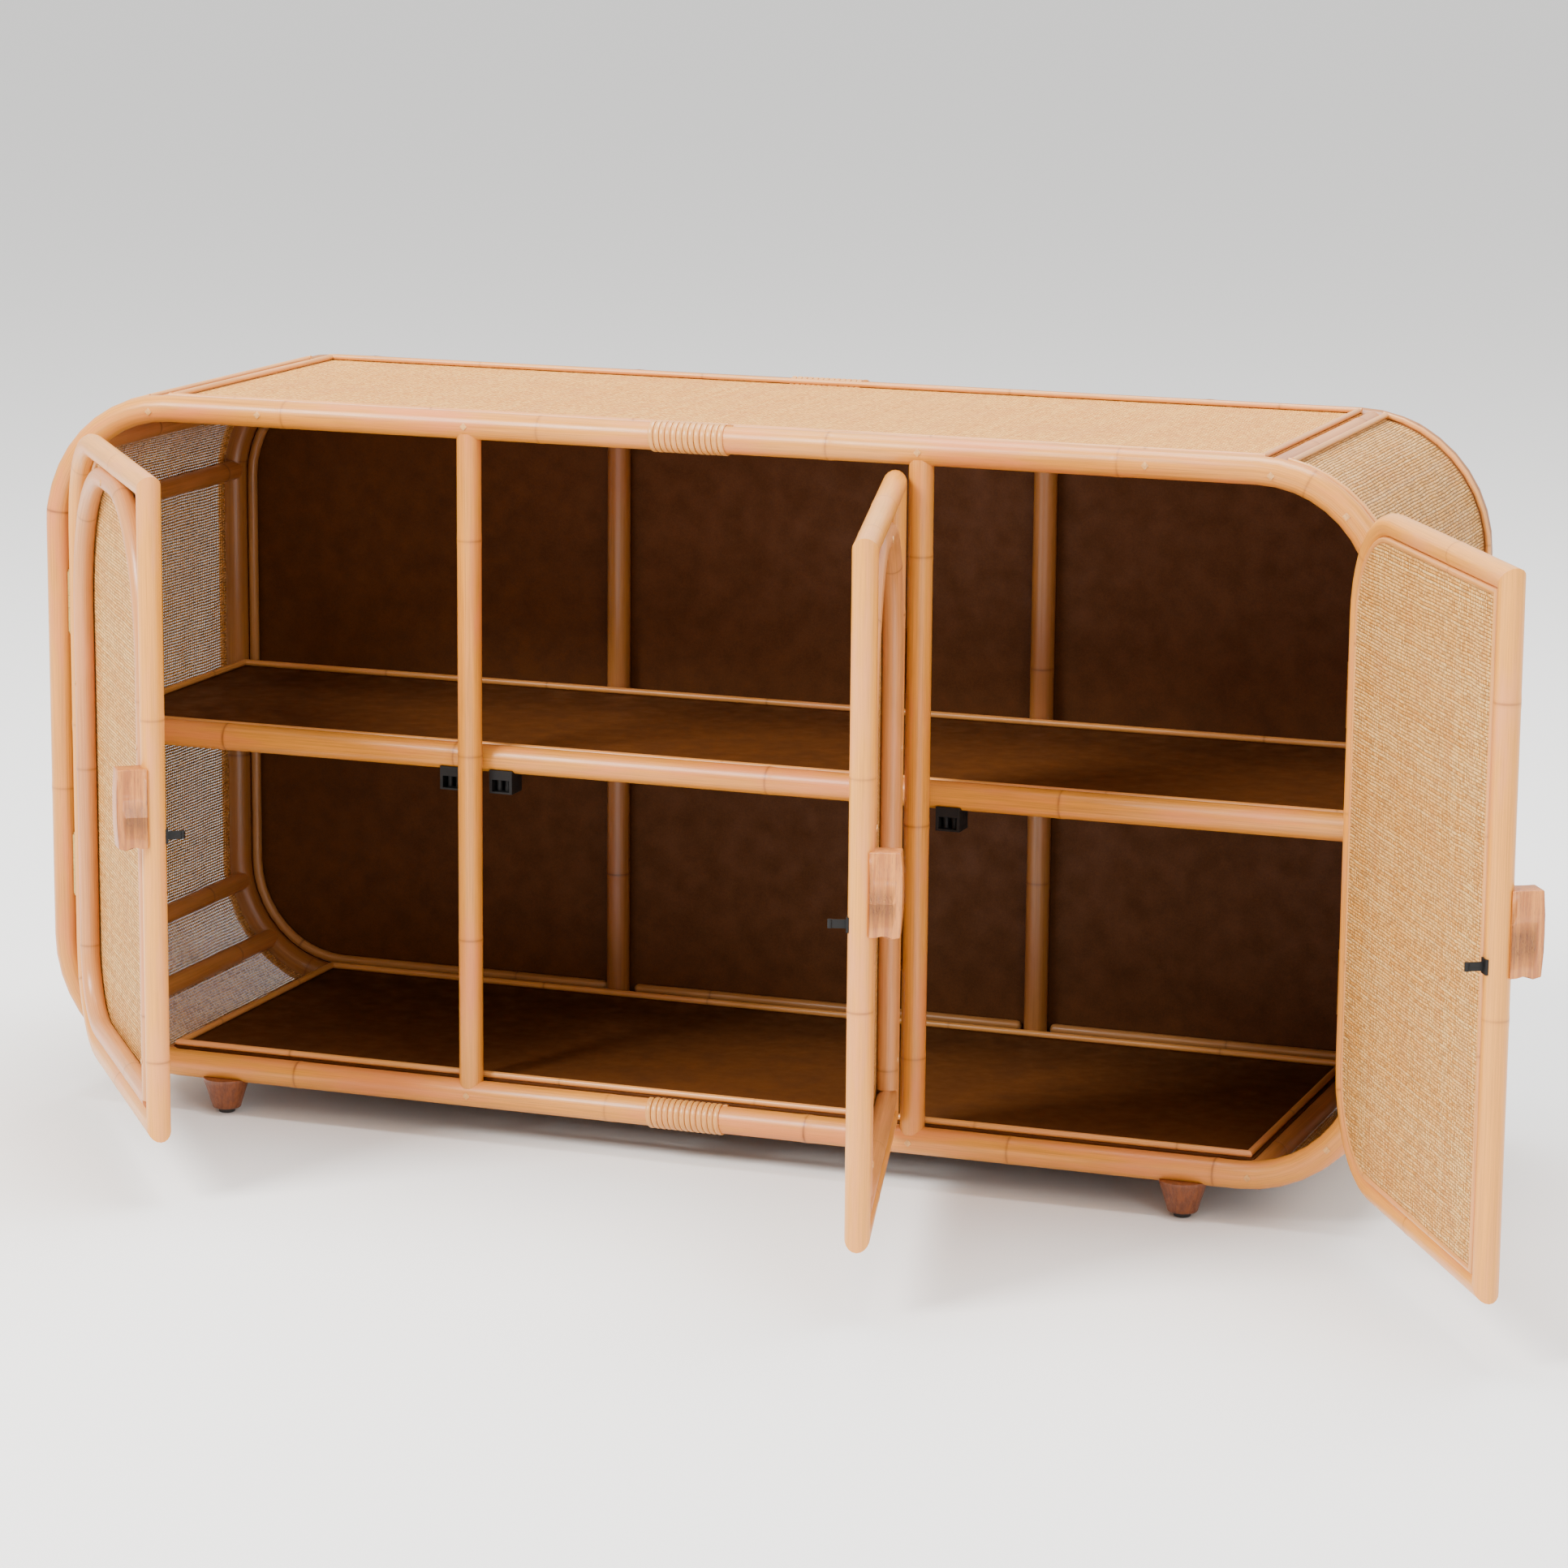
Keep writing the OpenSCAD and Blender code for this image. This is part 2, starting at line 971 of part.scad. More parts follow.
module middle_door_leaves() {
  color("#b8903c")
    place_middle()
      door_leaves();
}

module right_door_frame() {
  color("#dcb684")
    place_right()
      door_frame("side");
}

module right_door_stile() {
  color("#e3c090")
    place_right()
      door_stile("side");
}

module right_door_panel() {
  color("#e3c89a")
    place_right()
      door_panel("side");
}

module right_door_bead() {
  color("#d7ab74")
    place_right()
      door_bead("side");
}

module right_door_arch() {
  color("#cba274")
    place_right()
      door_arch("side");
}

module right_door_handle() {
  color("#b98562")
    place_right()
      door_handle("side");
}

module right_door_strike() {
  color("#181818")
    place_right()
      door_strike("side");
}

module right_door_leaves() {
  color("#b8903c")
    place_right()
      door_leaves();
}

// ---- assembly ------------------------------------------------------------

front_ring_left();
front_ring_right();
back_ring_left();
back_ring_right();
ring_bindings();
upright_front_left();
upright_front_right();
uprights_back();
shelf_rail_front();
shelf_bearers();
cross_poles_left();
cross_poles_right();
support_rails();
top_panel();
side_panel_left();
side_panel_right();
top_beads();
side_beads_left();
side_beads_right();
shelf_board();
bottom_board();
back_board();
shelf_beads();
bottom_beads();
back_strips();
feet();
foot_glides();
catch_housings();
pole_pegs();
frame_hinge_leaves();
roller_left_a();
roller_left_b();
roller_middle_a();
roller_middle_b();
roller_right_a();
roller_right_b();
left_door_frame();
left_door_stile();
left_door_panel();
left_door_bead();
left_door_arch();
left_door_handle();
left_door_strike();
left_door_leaves();
middle_door_frame();
middle_door_stile();
middle_door_panel();
middle_door_bead();
middle_door_arch();
middle_door_handle();
middle_door_strike();
middle_door_leaves();
right_door_frame();
right_door_stile();
right_door_panel();
right_door_bead();
right_door_arch();
right_door_handle();
right_door_strike();
right_door_leaves();
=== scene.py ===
import math
import random

import bmesh
import bpy
from bpy.props import FloatProperty, FloatVectorProperty, IntProperty, PointerProperty
from mathutils import Matrix, Vector


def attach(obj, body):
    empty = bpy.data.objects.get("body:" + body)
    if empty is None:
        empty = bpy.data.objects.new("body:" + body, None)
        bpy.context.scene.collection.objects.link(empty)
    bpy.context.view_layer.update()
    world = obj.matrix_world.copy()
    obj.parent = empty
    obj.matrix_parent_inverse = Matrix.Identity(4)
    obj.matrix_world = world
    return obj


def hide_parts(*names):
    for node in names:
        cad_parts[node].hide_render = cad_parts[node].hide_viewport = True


bl_info = {
    "name": "Cane Shoe Cabinet",
    "version": (1, 0, 0),
    "blender": (4, 5, 0),
    "location": "View3D > Sidebar > Cane Cabinet",
    "description": "Builds the poles, cane webbing, doors and fittings of a cane shoe cabinet",
    "category": "Object",
}

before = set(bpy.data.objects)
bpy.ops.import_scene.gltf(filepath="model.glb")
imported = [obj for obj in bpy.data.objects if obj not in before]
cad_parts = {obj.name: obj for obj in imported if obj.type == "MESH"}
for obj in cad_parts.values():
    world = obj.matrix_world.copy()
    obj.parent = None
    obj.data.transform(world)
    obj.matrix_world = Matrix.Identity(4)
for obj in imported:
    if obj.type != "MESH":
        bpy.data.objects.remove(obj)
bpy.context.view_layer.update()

MM = 0.001

# Sizes of the cabinet, in millimetres, as the solids have them.
HW, HH, RC, PR = 706.0, 347.0, 128.0, 14.0
ZC = 395.0
YF, YB = -203.0, 203.0
SX, SZ = HW - RC, HH - RC
UPX, UR = 240.5, 12.5
RAIL_Y, RAIL_Z = YF + UR + PR + 0.2, ZC + 2
BEARER_X, BEARER_R = HW - 3, 10.0
SHELF_TOP = ZC + 8
BASE_TOP = ZC - HH + PR + 0.2
DR, AR = 12.0, 10.5
HINGE_OUT = 9.0
DZ = 317.0
DOOR_RC = RC - (HW - 677)
ARCH_IN, ARCH_Y = DR + AR + 0.2, -(DR - AR)
ARCH_R = 150.0
BEAD_R, BEAD_IN, BEAD_Y = 3.25, 12.7, 8.6
SHEET_IN, SHEET_Y = BEAD_IN + BEAD_R + 0.1, 9.2
WEB_IN = 7.5
DOORS = {
    "left": {"w": 433.0, "kind": "side", "pivot": (-690.5, -212.0), "turn": -52.5, "flip": -1},
    "middle": {"w": 450.0, "kind": "mid", "pivot": (226.5, -212.0), "turn": 105.5, "flip": 1},
    "right": {"w": 433.0, "kind": "side", "pivot": (690.5, -212.0), "turn": 121.5, "flip": 1},
}
HINGE_Z, LEAF_H = 140.0, 64.0


# ---- settings ---------------------------------------------------------------


class CabinetColours(bpy.types.PropertyGroup):
    """Colours of the cane, the boards and the fittings"""

    pole: FloatVectorProperty(
        name="Frame poles",
        description="Main colour of the lacquered frame poles",
        subtype="COLOR",
        default=(0.63, 0.235, 0.021),
    )
    door_pole: FloatVectorProperty(
        name="Door poles",
        description="Main colour of the paler door poles",
        subtype="COLOR",
        default=(0.73, 0.285, 0.032),
    )
    webbing: FloatVectorProperty(
        name="Webbing",
        description="Colour of the strands of the cane webbing",
        subtype="COLOR",
        default=(0.84, 0.37, 0.058),
    )
    board: FloatVectorProperty(
        name="Boards",
        description="Colour of the shelf, the base and the back",
        subtype="COLOR",
        default=(0.104, 0.034, 0.0075),
    )
    pull: FloatVectorProperty(
        name="Door pulls",
        description="Colour of the wooden door pulls",
        subtype="COLOR",
        default=(0.37, 0.108, 0.017),
    )


class CabinetDetail(bpy.types.PropertyGroup):
    """How finely the poles and the webbing are worked"""

    sides: IntProperty(
        name="Pole sides",
        description="Number of faces round a main pole",
        default=20,
        min=8,
        max=48,
    )
    joint_gap: FloatProperty(
        name="Cane joint spacing",
        description="Usual length between two growth rings of a pole",
        default=0.26,
        min=0.08,
        max=0.6,
        unit="LENGTH",
    )
    strand: FloatProperty(
        name="Strand width",
        description="Distance from one webbing strand to the next",
        default=0.0032,
        min=0.001,
        max=0.01,
        unit="LENGTH",
    )


# ---- materials ----------------------------------------------------------------


class Maker:
    """Small helper that adds and links shader nodes in one node tree."""

    def __init__(self, tree):
        self.tree = tree

    def add(self, kind, **values):
        n = self.tree.nodes.new(kind)
        for k, v in values.items():
            setattr(n, k, v)
        return n

    def link(self, a, b):
        self.tree.links.new(a, b)

    def put(self, socket, value):
        if isinstance(value, bpy.types.NodeSocket):
            self.link(value, socket)
        elif value is not None:
            socket.default_value = value

    def math(self, op, a, b=None, c=None, clamp=False):
        n = self.add("ShaderNodeMath", operation=op, use_clamp=clamp)
        for i, v in enumerate((a, b, c)):
            self.put(n.inputs[i], v)
        return n.outputs[0]

    def vec(self, op, a, b):
        n = self.add("ShaderNodeVectorMath", operation=op)
        self.put(n.inputs[0], a)
        self.put(n.inputs[1], b)
        return n.outputs[0]

    def noise(self, vector, scale, detail=2.0, rough=0.5, distortion=0.0):
        n = self.add("ShaderNodeTexNoise")
        self.put(n.inputs["Vector"], vector)
        n.inputs["Scale"].default_value = scale
        n.inputs["Detail"].default_value = detail
        n.inputs["Roughness"].default_value = rough
        n.inputs["Distortion"].default_value = distortion
        return n.outputs["Fac"]

    def mix(self, fac, a, b, blend="MIX"):
        n = self.add("ShaderNodeMix", data_type="RGBA", blend_type=blend)
        self.put(n.inputs["Factor"], fac)
        self.put(n.inputs["A"], a)
        self.put(n.inputs["B"], b)
        return n.outputs["Result"]

    def span(self, value, a, b, lo=0.0, hi=1.0):
        n = self.add("ShaderNodeMapRange")
        self.put(n.inputs["Value"], value)
        n.inputs["From Min"].default_value = a
        n.inputs["From Max"].default_value = b
        n.inputs["To Min"].default_value = lo
        n.inputs["To Max"].default_value = hi
        return n.outputs["Result"]


def rgba(c, k=1.0):
    return (min(c[0] * k, 1.0), min(c[1] * k, 1.0), min(c[2] * k, 1.0), 1.0)


def new_group(name, ins, outs):
    g = bpy.data.node_groups.new(name, "ShaderNodeTree")
    for n, kind, default in ins:
        s = g.interface.new_socket(name=n, in_out="INPUT", socket_type=kind)
        if default is not None:
            s.default_value = default
    for n, kind in outs:
        g.interface.new_socket(name=n, in_out="OUTPUT", socket_type=kind)
    m = Maker(g)
    gi = m.add("NodeGroupInput")
    go = m.add("NodeGroupOutput")
    return g, m, gi, go


def cane_skin_group():
    """Colour, roughness and height of a lacquered cane pole, from its own straightened shape."""
    g, m, gi, go = new_group(
        "cane skin",
        [
            ("Grain", "NodeSocketVector", None),
            ("Ring", "NodeSocketFloat", 0.0),
            ("Main", "NodeSocketColor", None),
            ("Fibre", "NodeSocketColor", None),
            ("Blush", "NodeSocketColor", None),
            ("Ring Colour", "NodeSocketColor", None),
        ],
        [("Color", "NodeSocketColor"), ("Roughness", "NodeSocketFloat"), ("Height", "NodeSocketFloat")],
    )
    v = gi.outputs["Grain"]
    fibre = m.noise(m.vec("MULTIPLY", v, (900.0, 900.0, 9.0)), 1.0, 4.0, 0.6)
    fine = m.noise(m.vec("MULTIPLY", v, (2600.0, 2600.0, 30.0)), 1.0, 2.0, 0.5)
    patch = m.noise(m.vec("MULTIPLY", v, (42.0, 42.0, 7.0)), 1.0, 3.0, 0.55)
    tone = m.noise(m.vec("MULTIPLY", v, (6.0, 6.0, 3.1)), 1.0, 2.0, 0.5)
    c = m.mix(m.span(fibre, 0.4, 0.66), gi.outputs["Main"], gi.outputs["Fibre"])
    c = m.mix(m.span(patch, 0.48, 0.66, 0.0, 0.85), c, gi.outputs["Blush"])
    c = m.mix(m.span(tone, 0.3, 0.7, 0.0, 0.34), c, rgba((0.72, 0.33, 0.07)))
    c = m.mix(m.span(fine, 0.52, 0.7, 0.0, 0.22), c, gi.outputs["Ring Colour"])
    ring = m.math("MULTIPLY", gi.outputs["Ring"], m.span(patch, 0.3, 0.7, 0.45, 0.95), clamp=True)
    c = m.mix(ring, c, gi.outputs["Ring Colour"])
    m.link(c, go.inputs["Color"])
    m.link(m.span(patch, 0.3, 0.7, 0.3, 0.44), go.inputs["Roughness"])
    h = m.math("MULTIPLY_ADD", fibre, 0.7, m.math("MULTIPLY", fine, 0.3))
    m.link(h, go.inputs["Height"])
    return g


def weave_group():
    """Flat-cane webbing: colour with painted shade where the strands dip and at their edges, height and the small open
    gaps between its strands.
    """
    g, m, gi, go = new_group(
        "cane weave",
        [
            ("Lay", "NodeSocketVector", None),
            ("Pitch", "NodeSocketFloat", 0.0024),
            ("Over", "NodeSocketFloat", 1.0),
            ("Strand", "NodeSocketColor", None),
            ("Light", "NodeSocketColor", None),
            ("Shade", "NodeSocketColor", None),
            ("Gap", "NodeSocketFloat", 0.36),
        ],
        [("Color", "NodeSocketColor"), ("Height", "NodeSocketFloat"), ("Alpha", "NodeSocketFloat")],
    )
    lay, over = gi.outputs["Lay"], gi.outputs["Over"]
    sep = m.add("ShaderNodeSeparateXYZ")
    m.link(lay, sep.inputs[0])
    drift_u = m.math("MULTIPLY", m.math("SUBTRACT", m.noise(m.vec("MULTIPLY", lay, (11.0, 17.0, 1.0)), 1.0, 2.0), 0.5), 0.0035)
    drift_v = m.math("MULTIPLY", m.math("SUBTRACT", m.noise(m.vec("MULTIPLY", lay, (19.0, 9.0, 1.0)), 1.0, 2.0), 0.5), 0.0035)
    u = m.math("DIVIDE", m.math("ADD", sep.outputs[0], drift_u), gi.outputs["Pitch"])
    v = m.math("DIVIDE", m.math("ADD", sep.outputs[1], drift_v), gi.outputs["Pitch"])
    iu, iv = m.math("FLOOR", u), m.math("FLOOR", v)
    au = m.math("ABSOLUTE", m.math("SUBTRACT", m.math("SUBTRACT", u, iu), 0.5))
    av = m.math("ABSOLUTE", m.math("SUBTRACT", m.math("SUBTRACT", v, iv), 0.5))
    turn = m.math("MULTIPLY", over, 2.0)
    warp = m.math("LESS_THAN", m.math("FLOORED_MODULO", m.math("ADD", iu, iv), turn), over)
    weft = m.math("SUBTRACT", 1.0, warp)
    half = m.math("MULTIPLY", over, 0.5)

    def crown(along, across):
        """How high a strand stands: round across its width, dipping at both ends of its crossing."""
        run = m.math("FLOORED_MODULO", along, turn)
        off = m.math("DIVIDE", m.math("ABSOLUTE", m.math("SUBTRACT", run, half)), m.math("ADD", half, 0.12))
        a = m.math("SUBTRACT", 1.0, m.math("POWER", off, 2.6))
        b = m.math("SUBTRACT", 1.0, m.math("POWER", m.math("MULTIPLY", across, 2.2), 2.4))
        return m.math("MULTIPLY", m.math("MAXIMUM", a, 0.0), m.math("MAXIMUM", b, 0.0))

    high_a = crown(m.math("ADD", v, iu), au)
    high_b = crown(m.math("SUBTRACT", m.math("ADD", u, iv), over), av)
    h = m.math("ADD", m.math("MULTIPLY", warp, high_a), m.math("MULTIPLY", weft, high_b))
    tone_a = m.add("ShaderNodeTexWhiteNoise", noise_dimensions="1D")
    tone_b = m.add("ShaderNodeTexWhiteNoise", noise_dimensions="1D")
    m.put(tone_a.inputs["W"], iu)
    m.put(tone_b.inputs["W"], m.math("ADD", iv, 91.3))
    tone = m.math("ADD", m.math("MULTIPLY", warp, tone_a.outputs["Value"]), m.math("MULTIPLY", weft, tone_b.outputs["Value"]))
    blotch = m.noise(m.vec("MULTIPLY", lay, (23.0, 9.0, 1.0)), 1.0, 3.0, 0.6)
    cell = m.add("ShaderNodeTexWhiteNoise", noise_dimensions="2D")
    cell_at = m.add("ShaderNodeCombineXYZ")
    m.put(cell_at.inputs[0], iu)
    m.put(cell_at.inputs[1], iv)
    m.link(cell_at.outputs[0], cell.inputs["Vector"])
    c = m.mix(m.span(tone, 0.0, 1.0, 0.0, 0.95), gi.outputs["Strand"], gi.outputs["Light"])
    # darker tone at random crossings, mixed toward the shade colour
    c = m.mix(m.span(cell.outputs["Value"], 0.35, 1.0, 0.0, 0.55), c, gi.outputs["Shade"])
    c = m.mix(m.span(blotch, 0.5, 0.72, 0.0, 0.4), c, rgba((0.66, 0.27, 0.075)))
    # painted shade: each strand darkens toward its edges and where it dips under the crossing strands
    c = m.mix(m.span(h, 0.05, 0.8, 1.0, 0.0), c, gi.outputs["Shade"])
    m.link(c, go.inputs["Color"])
    m.link(h, go.inputs["Height"])
    gap = m.math("MULTIPLY", m.math("GREATER_THAN", au, gi.outputs["Gap"]), m.math("GREATER_THAN", av, gi.outputs["Gap"]))
    m.link(m.math("SUBTRACT", 1.0, gap), go.inputs["Alpha"])
    return g


def timber_group():
    """Fine-grained turned or cut wood, with pores and streaks running along one axis of its own space."""
    g, m, gi, go = new_group(
        "timber",
        [("Grain", "NodeSocketVector", None), ("Main", "NodeSocketColor", None), ("Streak", "NodeSocketColor", None)],
        [("Color", "NodeSocketColor"), ("Roughness", "NodeSocketFloat"), ("Height", "NodeSocketFloat")],
    )
    v = gi.outputs["Grain"]
    bands = m.noise(m.vec("MULTIPLY", v, (260.0, 260.0, 9.0)), 1.0, 4.0, 0.62, 0.5)
    pores = m.noise(m.vec("MULTIPLY", v, (1500.0, 1500.0, 120.0)), 1.0, 2.0, 0.6)
    c = m.mix(m.span(bands, 0.40, 0.60), gi.outputs["Main"], gi.outputs["Streak"])
    c = m.mix(m.span(pores, 0.56, 0.66, 0.0, 0.5), c, rgba((0.16, 0.07, 0.035)))
    m.link(c, go.inputs["Color"])
    m.link(m.span(bands, 0.3, 0.7, 0.36, 0.5), go.inputs["Roughness"])
    m.link(m.span(pores, 0.5, 0.7, 1.0, 0.0), go.inputs["Height"])
    return g


def speckle_group():
    """Small even mottling, for fibreboard, moulded plastic and dull metal."""
    g, m, gi, go = new_group(
        "speckle",
        [("Main", "NodeSocketColor", None), ("Other", "NodeSocketColor", None), ("Size", "NodeSocketVector", None)],
        [("Color", "NodeSocketColor"), ("Mask", "NodeSocketFloat"), ("Height", "NodeSocketFloat")],
    )
    tc = m.add("ShaderNodeTexCoord")
    v = m.vec("MULTIPLY", tc.outputs["Object"], gi.outputs["Size"])
    fine = m.noise(v, 1.0, 3.0, 0.6)
    wide = m.noise(m.vec("MULTIPLY", v, (0.045, 0.045, 0.045)), 1.0, 3.0, 0.55)
    both = m.math("ADD", m.math("MULTIPLY", fine, 0.55), m.math("MULTIPLY", wide, 0.45))
    m.link(m.mix(m.span(both, 0.36, 0.64), gi.outputs["Main"], gi.outputs["Other"]), go.inputs["Color"])
    m.link(wide, go.inputs["Mask"])
    m.link(fine, go.inputs["Height"])
    return g


GROUPS = {}
FINISHES = {}


def group(name):
    if name not in GROUPS:
        GROUPS[name] = {"cane": cane_skin_group, "weave": weave_group, "timber": timber_group, "speckle": speckle_group}[name]()
    return GROUPS[name]


def new_material(name):
    mat = bpy.data.materials.new(name)
    mat.use_nodes = True
    m = Maker(mat.node_tree)
    bsdf = mat.node_tree.nodes["Principled BSDF"]
    return mat, m, bsdf


def bump(m, bsdf, height, strength, distance):
    b = m.add("ShaderNodeBump")
    b.inputs["Strength"].default_value = strength
    b.inputs["Distance"].default_value = distance
    m.link(height, b.inputs["Height"])
    m.link(b.outputs["Normal"], bsdf.inputs["Normal"])


def use_group(m, name, **values):
    n = m.add("ShaderNodeGroup")
    n.node_tree = group(name)
    for k, v in values.items():
        m.put(n.inputs[k.replace("_", " ")], v)
    return n


def attribute(m, name):
    return m.add("ShaderNodeAttribute", attribute_name=name)


def pole_finish(name, main, fibre, blush, ring, coat=0.22):
    mat, m, bsdf = new_material(name)
    g = use_group(
        m,
        "cane",
        Grain=attribute(m, "grain").outputs["Vector"],
        Ring=attribute(m, "ring").outputs["Fac"],
        Main=rgba(main),
        Fibre=rgba(fibre),
        Blush=rgba(blush),
        Ring_Colour=rgba(ring),
    )
    m.link(g.outputs["Color"], bsdf.inputs["Base Color"])
    m.link(g.outputs["Roughness"], bsdf.inputs["Roughness"])
    bsdf.inputs["Coat Weight"].default_value = coat
    bsdf.inputs["Coat Roughness"].default_value = 0.22
    bsdf.inputs["Specular IOR Level"].default_value = 0.35
    bump(m, bsdf, g.outputs["Height"], 0.35, 0.0006)
    return mat


def webbing_finish(name, strand, light, shade, pitch, over, gap):
    mat, m, bsdf = new_material(name)
    lay = attribute(m, "lay").outputs["Vector"]
    g = use_group(m, "weave", Lay=lay, Strand=rgba(strand), Light=rgba(light), Shade=rgba(shade))
    g.inputs["Pitch"].default_value = pitch
    g.inputs["Over"].default_value = over
    g.inputs["Gap"].default_value = gap
    m.link(g.outputs["Color"], bsdf.inputs["Base Color"])
    m.link(g.outputs["Alpha"], bsdf.inputs["Alpha"])
    bsdf.inputs["Roughness"].default_value = 0.6
    bsdf.inputs["Specular IOR Level"].default_value = 0.2
    bump(m, bsdf, g.outputs["Height"], 0.85, 0.0014)
    return mat


def timber_finish(name, main, streak, attr="grain"):
    mat, m, bsdf = new_material(name)
    g = use_group(m, "timber", Grain=attribute(m, attr).outputs["Vector"], Main=rgba(main), Streak=rgba(streak))
    m.link(g.outputs["Color"], bsdf.inputs["Base Color"])
    m.link(g.outputs["Roughness"], bsdf.inputs["Roughness"])
    bsdf.inputs["Coat Weight"].default_value = 0.2
    bsdf.inputs["Coat Roughness"].default_value = 0.25
    bump(m, bsdf, g.outputs["Height"], 0.4, 0.0004)
    return mat


def speckle_finish(name, main, other, size, rough, metal=0.0, strength=0.25, depth=0.0002, rough_span=0.1, spec=0.5):
    mat, m, bsdf = new_material(name)
    g = use_group(m, "speckle", Main=rgba(main), Other=rgba(other), Size=(size, size, size))
    m.link(g.outputs["Color"], bsdf.inputs["Base Color"])
    m.link(m.span(g.outputs["Mask"], 0.3, 0.7, rough - rough_span, rough + rough_span), bsdf.inputs["Roughness"])
    bsdf.inputs["Metallic"].default_value = metal
    bsdf.inputs["Specular IOR Level"].default_value = spec
    bump(m, bsdf, g.outputs["Height"], strength, depth)
    return mat


def finish(name):
    """The named finish, made the first time it is asked for."""
    if name in FINISHES:
        return FINISHES[name]
    c = bpy.context.scene.cabinet_colours
    d = bpy.context.scene.cabinet_detail
    pole, door, web, board, pull = (tuple(x) for x in (c.pole, c.door_pole, c.webbing, c.board, c.pull))
    makers = {
        "frame_pole": lambda n: pole_finish(n, pole, rgba(pole, 0.66)[:3], (0.60, 0.17, 0.045), (0.18, 0.05, 0.01)),
        "back_pole": lambda n: pole_finish(n, (0.27, 0.094, 0.022), (0.17, 0.055, 0.013), (0.27, 0.078, 0.022), (0.09, 0.027, 0.007)),
        "cross_pole": lambda n: pole_finish(n, (0.46, 0.165, 0.048), (0.32, 0.105, 0.028), (0.54, 0.19, 0.065), (0.15, 0.05, 0.015)),
        "strip_pole": lambda n: pole_finish(n, (0.38, 0.165, 0.05), (0.26, 0.105, 0.03), (0.42, 0.19, 0.065), (0.12, 0.05, 0.015), 0.2),
        "door_pole": lambda n: pole_finish(n, door, rgba(door, 0.76)[:3], (0.66, 0.24, 0.08), (0.28, 0.09, 0.02)),
        "arch_pole": lambda n: pole_finish(n, (0.56, 0.225, 0.07), (0.42, 0.155, 0.045), (0.60, 0.22, 0.09), (0.22, 0.08, 0.02)),
        "bead_cane": lambda n: pole_finish(n, (0.66, 0.29, 0.075), (0.46, 0.18, 0.04), (0.64, 0.24, 0.08), (0.22, 0.08, 0.02), 0.25),
        "binding_cane": lambda n: pole_finish(n, (0.66, 0.31, 0.075), (0.44, 0.18, 0.035), (0.58, 0.22, 0.06), (0.18, 0.06, 0.015), 0.3),
        # the third colour of each webbing is its painted shade between and under the strands, also used for darker
        # random crossings
        "top_webbing": lambda n: webbing_finish(n, web, (1.0, 0.56, 0.13), (0.34, 0.105, 0.014), d.strand, 2.0, 0.45),
        "end_webbing": lambda n: webbing_finish(n, rgba(web, 0.92)[:3], (0.88, 0.54, 0.22), (0.12, 0.042, 0.009), d.strand, 1.0, 0.27),
        "door_webbing": lambda n: webbing_finish(n, web, (1.0, 0.64, 0.23), (0.21, 0.064, 0.010), d.strand, 1.0, 0.40),
        "foot_wood": lambda n: timber_finish(n, (0.20, 0.050, 0.007), (0.12, 0.028, 0.005)),
        "pull_wood": lambda n: timber_finish(n, pull, (0.56, 0.195, 0.028)),
        "peg_wood": lambda n: timber_finish(n, (0.66, 0.34, 0.10), (0.52, 0.24, 0.06)),
        "brown_board": lambda n: speckle_finish(n, board, rgba(board, 0.62)[:3], 900.0, 0.55, 0.0, 0.12, 0.0002, spec=0.12),
        "black_plastic": lambda n: speckle_finish(n, (0.006, 0.006, 0.006), (0.011, 0.010, 0.010), 1400.0, 0.5, 0.0, 0.15, 0.0001, spec=0.2),
        "glide_plastic": lambda n: speckle_finish(n, (0.015, 0.015, 0.015), (0.03, 0.028, 0.026), 1200.0, 0.55),
        "hinge_brass": lambda n: speckle_finish(n, (0.60, 0.42, 0.14), (0.44, 0.29, 0.09), 500.0, 0.32, 1.0, 0.1, 0.0001),
        "screw_steel": lambda n: speckle_finish(n, (0.50, 0.40, 0.20), (0.38, 0.29, 0.14), 900.0, 0.35, 1.0, 0.1, 0.0001),
    }
    FINISHES[name] = makers[name](name)
    return FINISHES[name]


# ---- mesh helpers ---------------------------------------------------------------


def publish(name, bm, finish_name, body, nodes=(), smooth=True, scale=MM):
    """Turns a bmesh drawn in millimetres into a piece of the cabinet."""
    bmesh.ops.scale(bm, vec=(scale, scale, scale), verts=bm.verts)
    bmesh.ops.recalc_face_normals(bm, faces=bm.faces)
    mesh = bpy.data.meshes.new(name)
    bm.to_mesh(mesh)
    bm.free()
    if smooth:
        mesh.shade_smooth()
        mesh.set_sharp_from_angle(angle=math.radians(38))
    mesh.materials.append(finish(finish_name))
    obj = bpy.data.objects.new(name, mesh)
    bpy.context.scene.collection.objects.link(obj)
    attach(obj, body)
    if nodes:
        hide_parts(*nodes)
    return obj


def cad_finish(node, finish_name):
    """Gives a carried-over solid its finish."""
    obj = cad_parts[node]
    obj.data.materials.clear()
    obj.data.materials.append(finish(finish_name))


def join(bm, part):
    """Adds a finished part to a piece."""
    mesh = bpy.data.meshes.new("part")
    part.to_mesh(mesh)
    part.free()
    bm.from_mesh(mesh)
    bpy.data.meshes.remove(mesh)


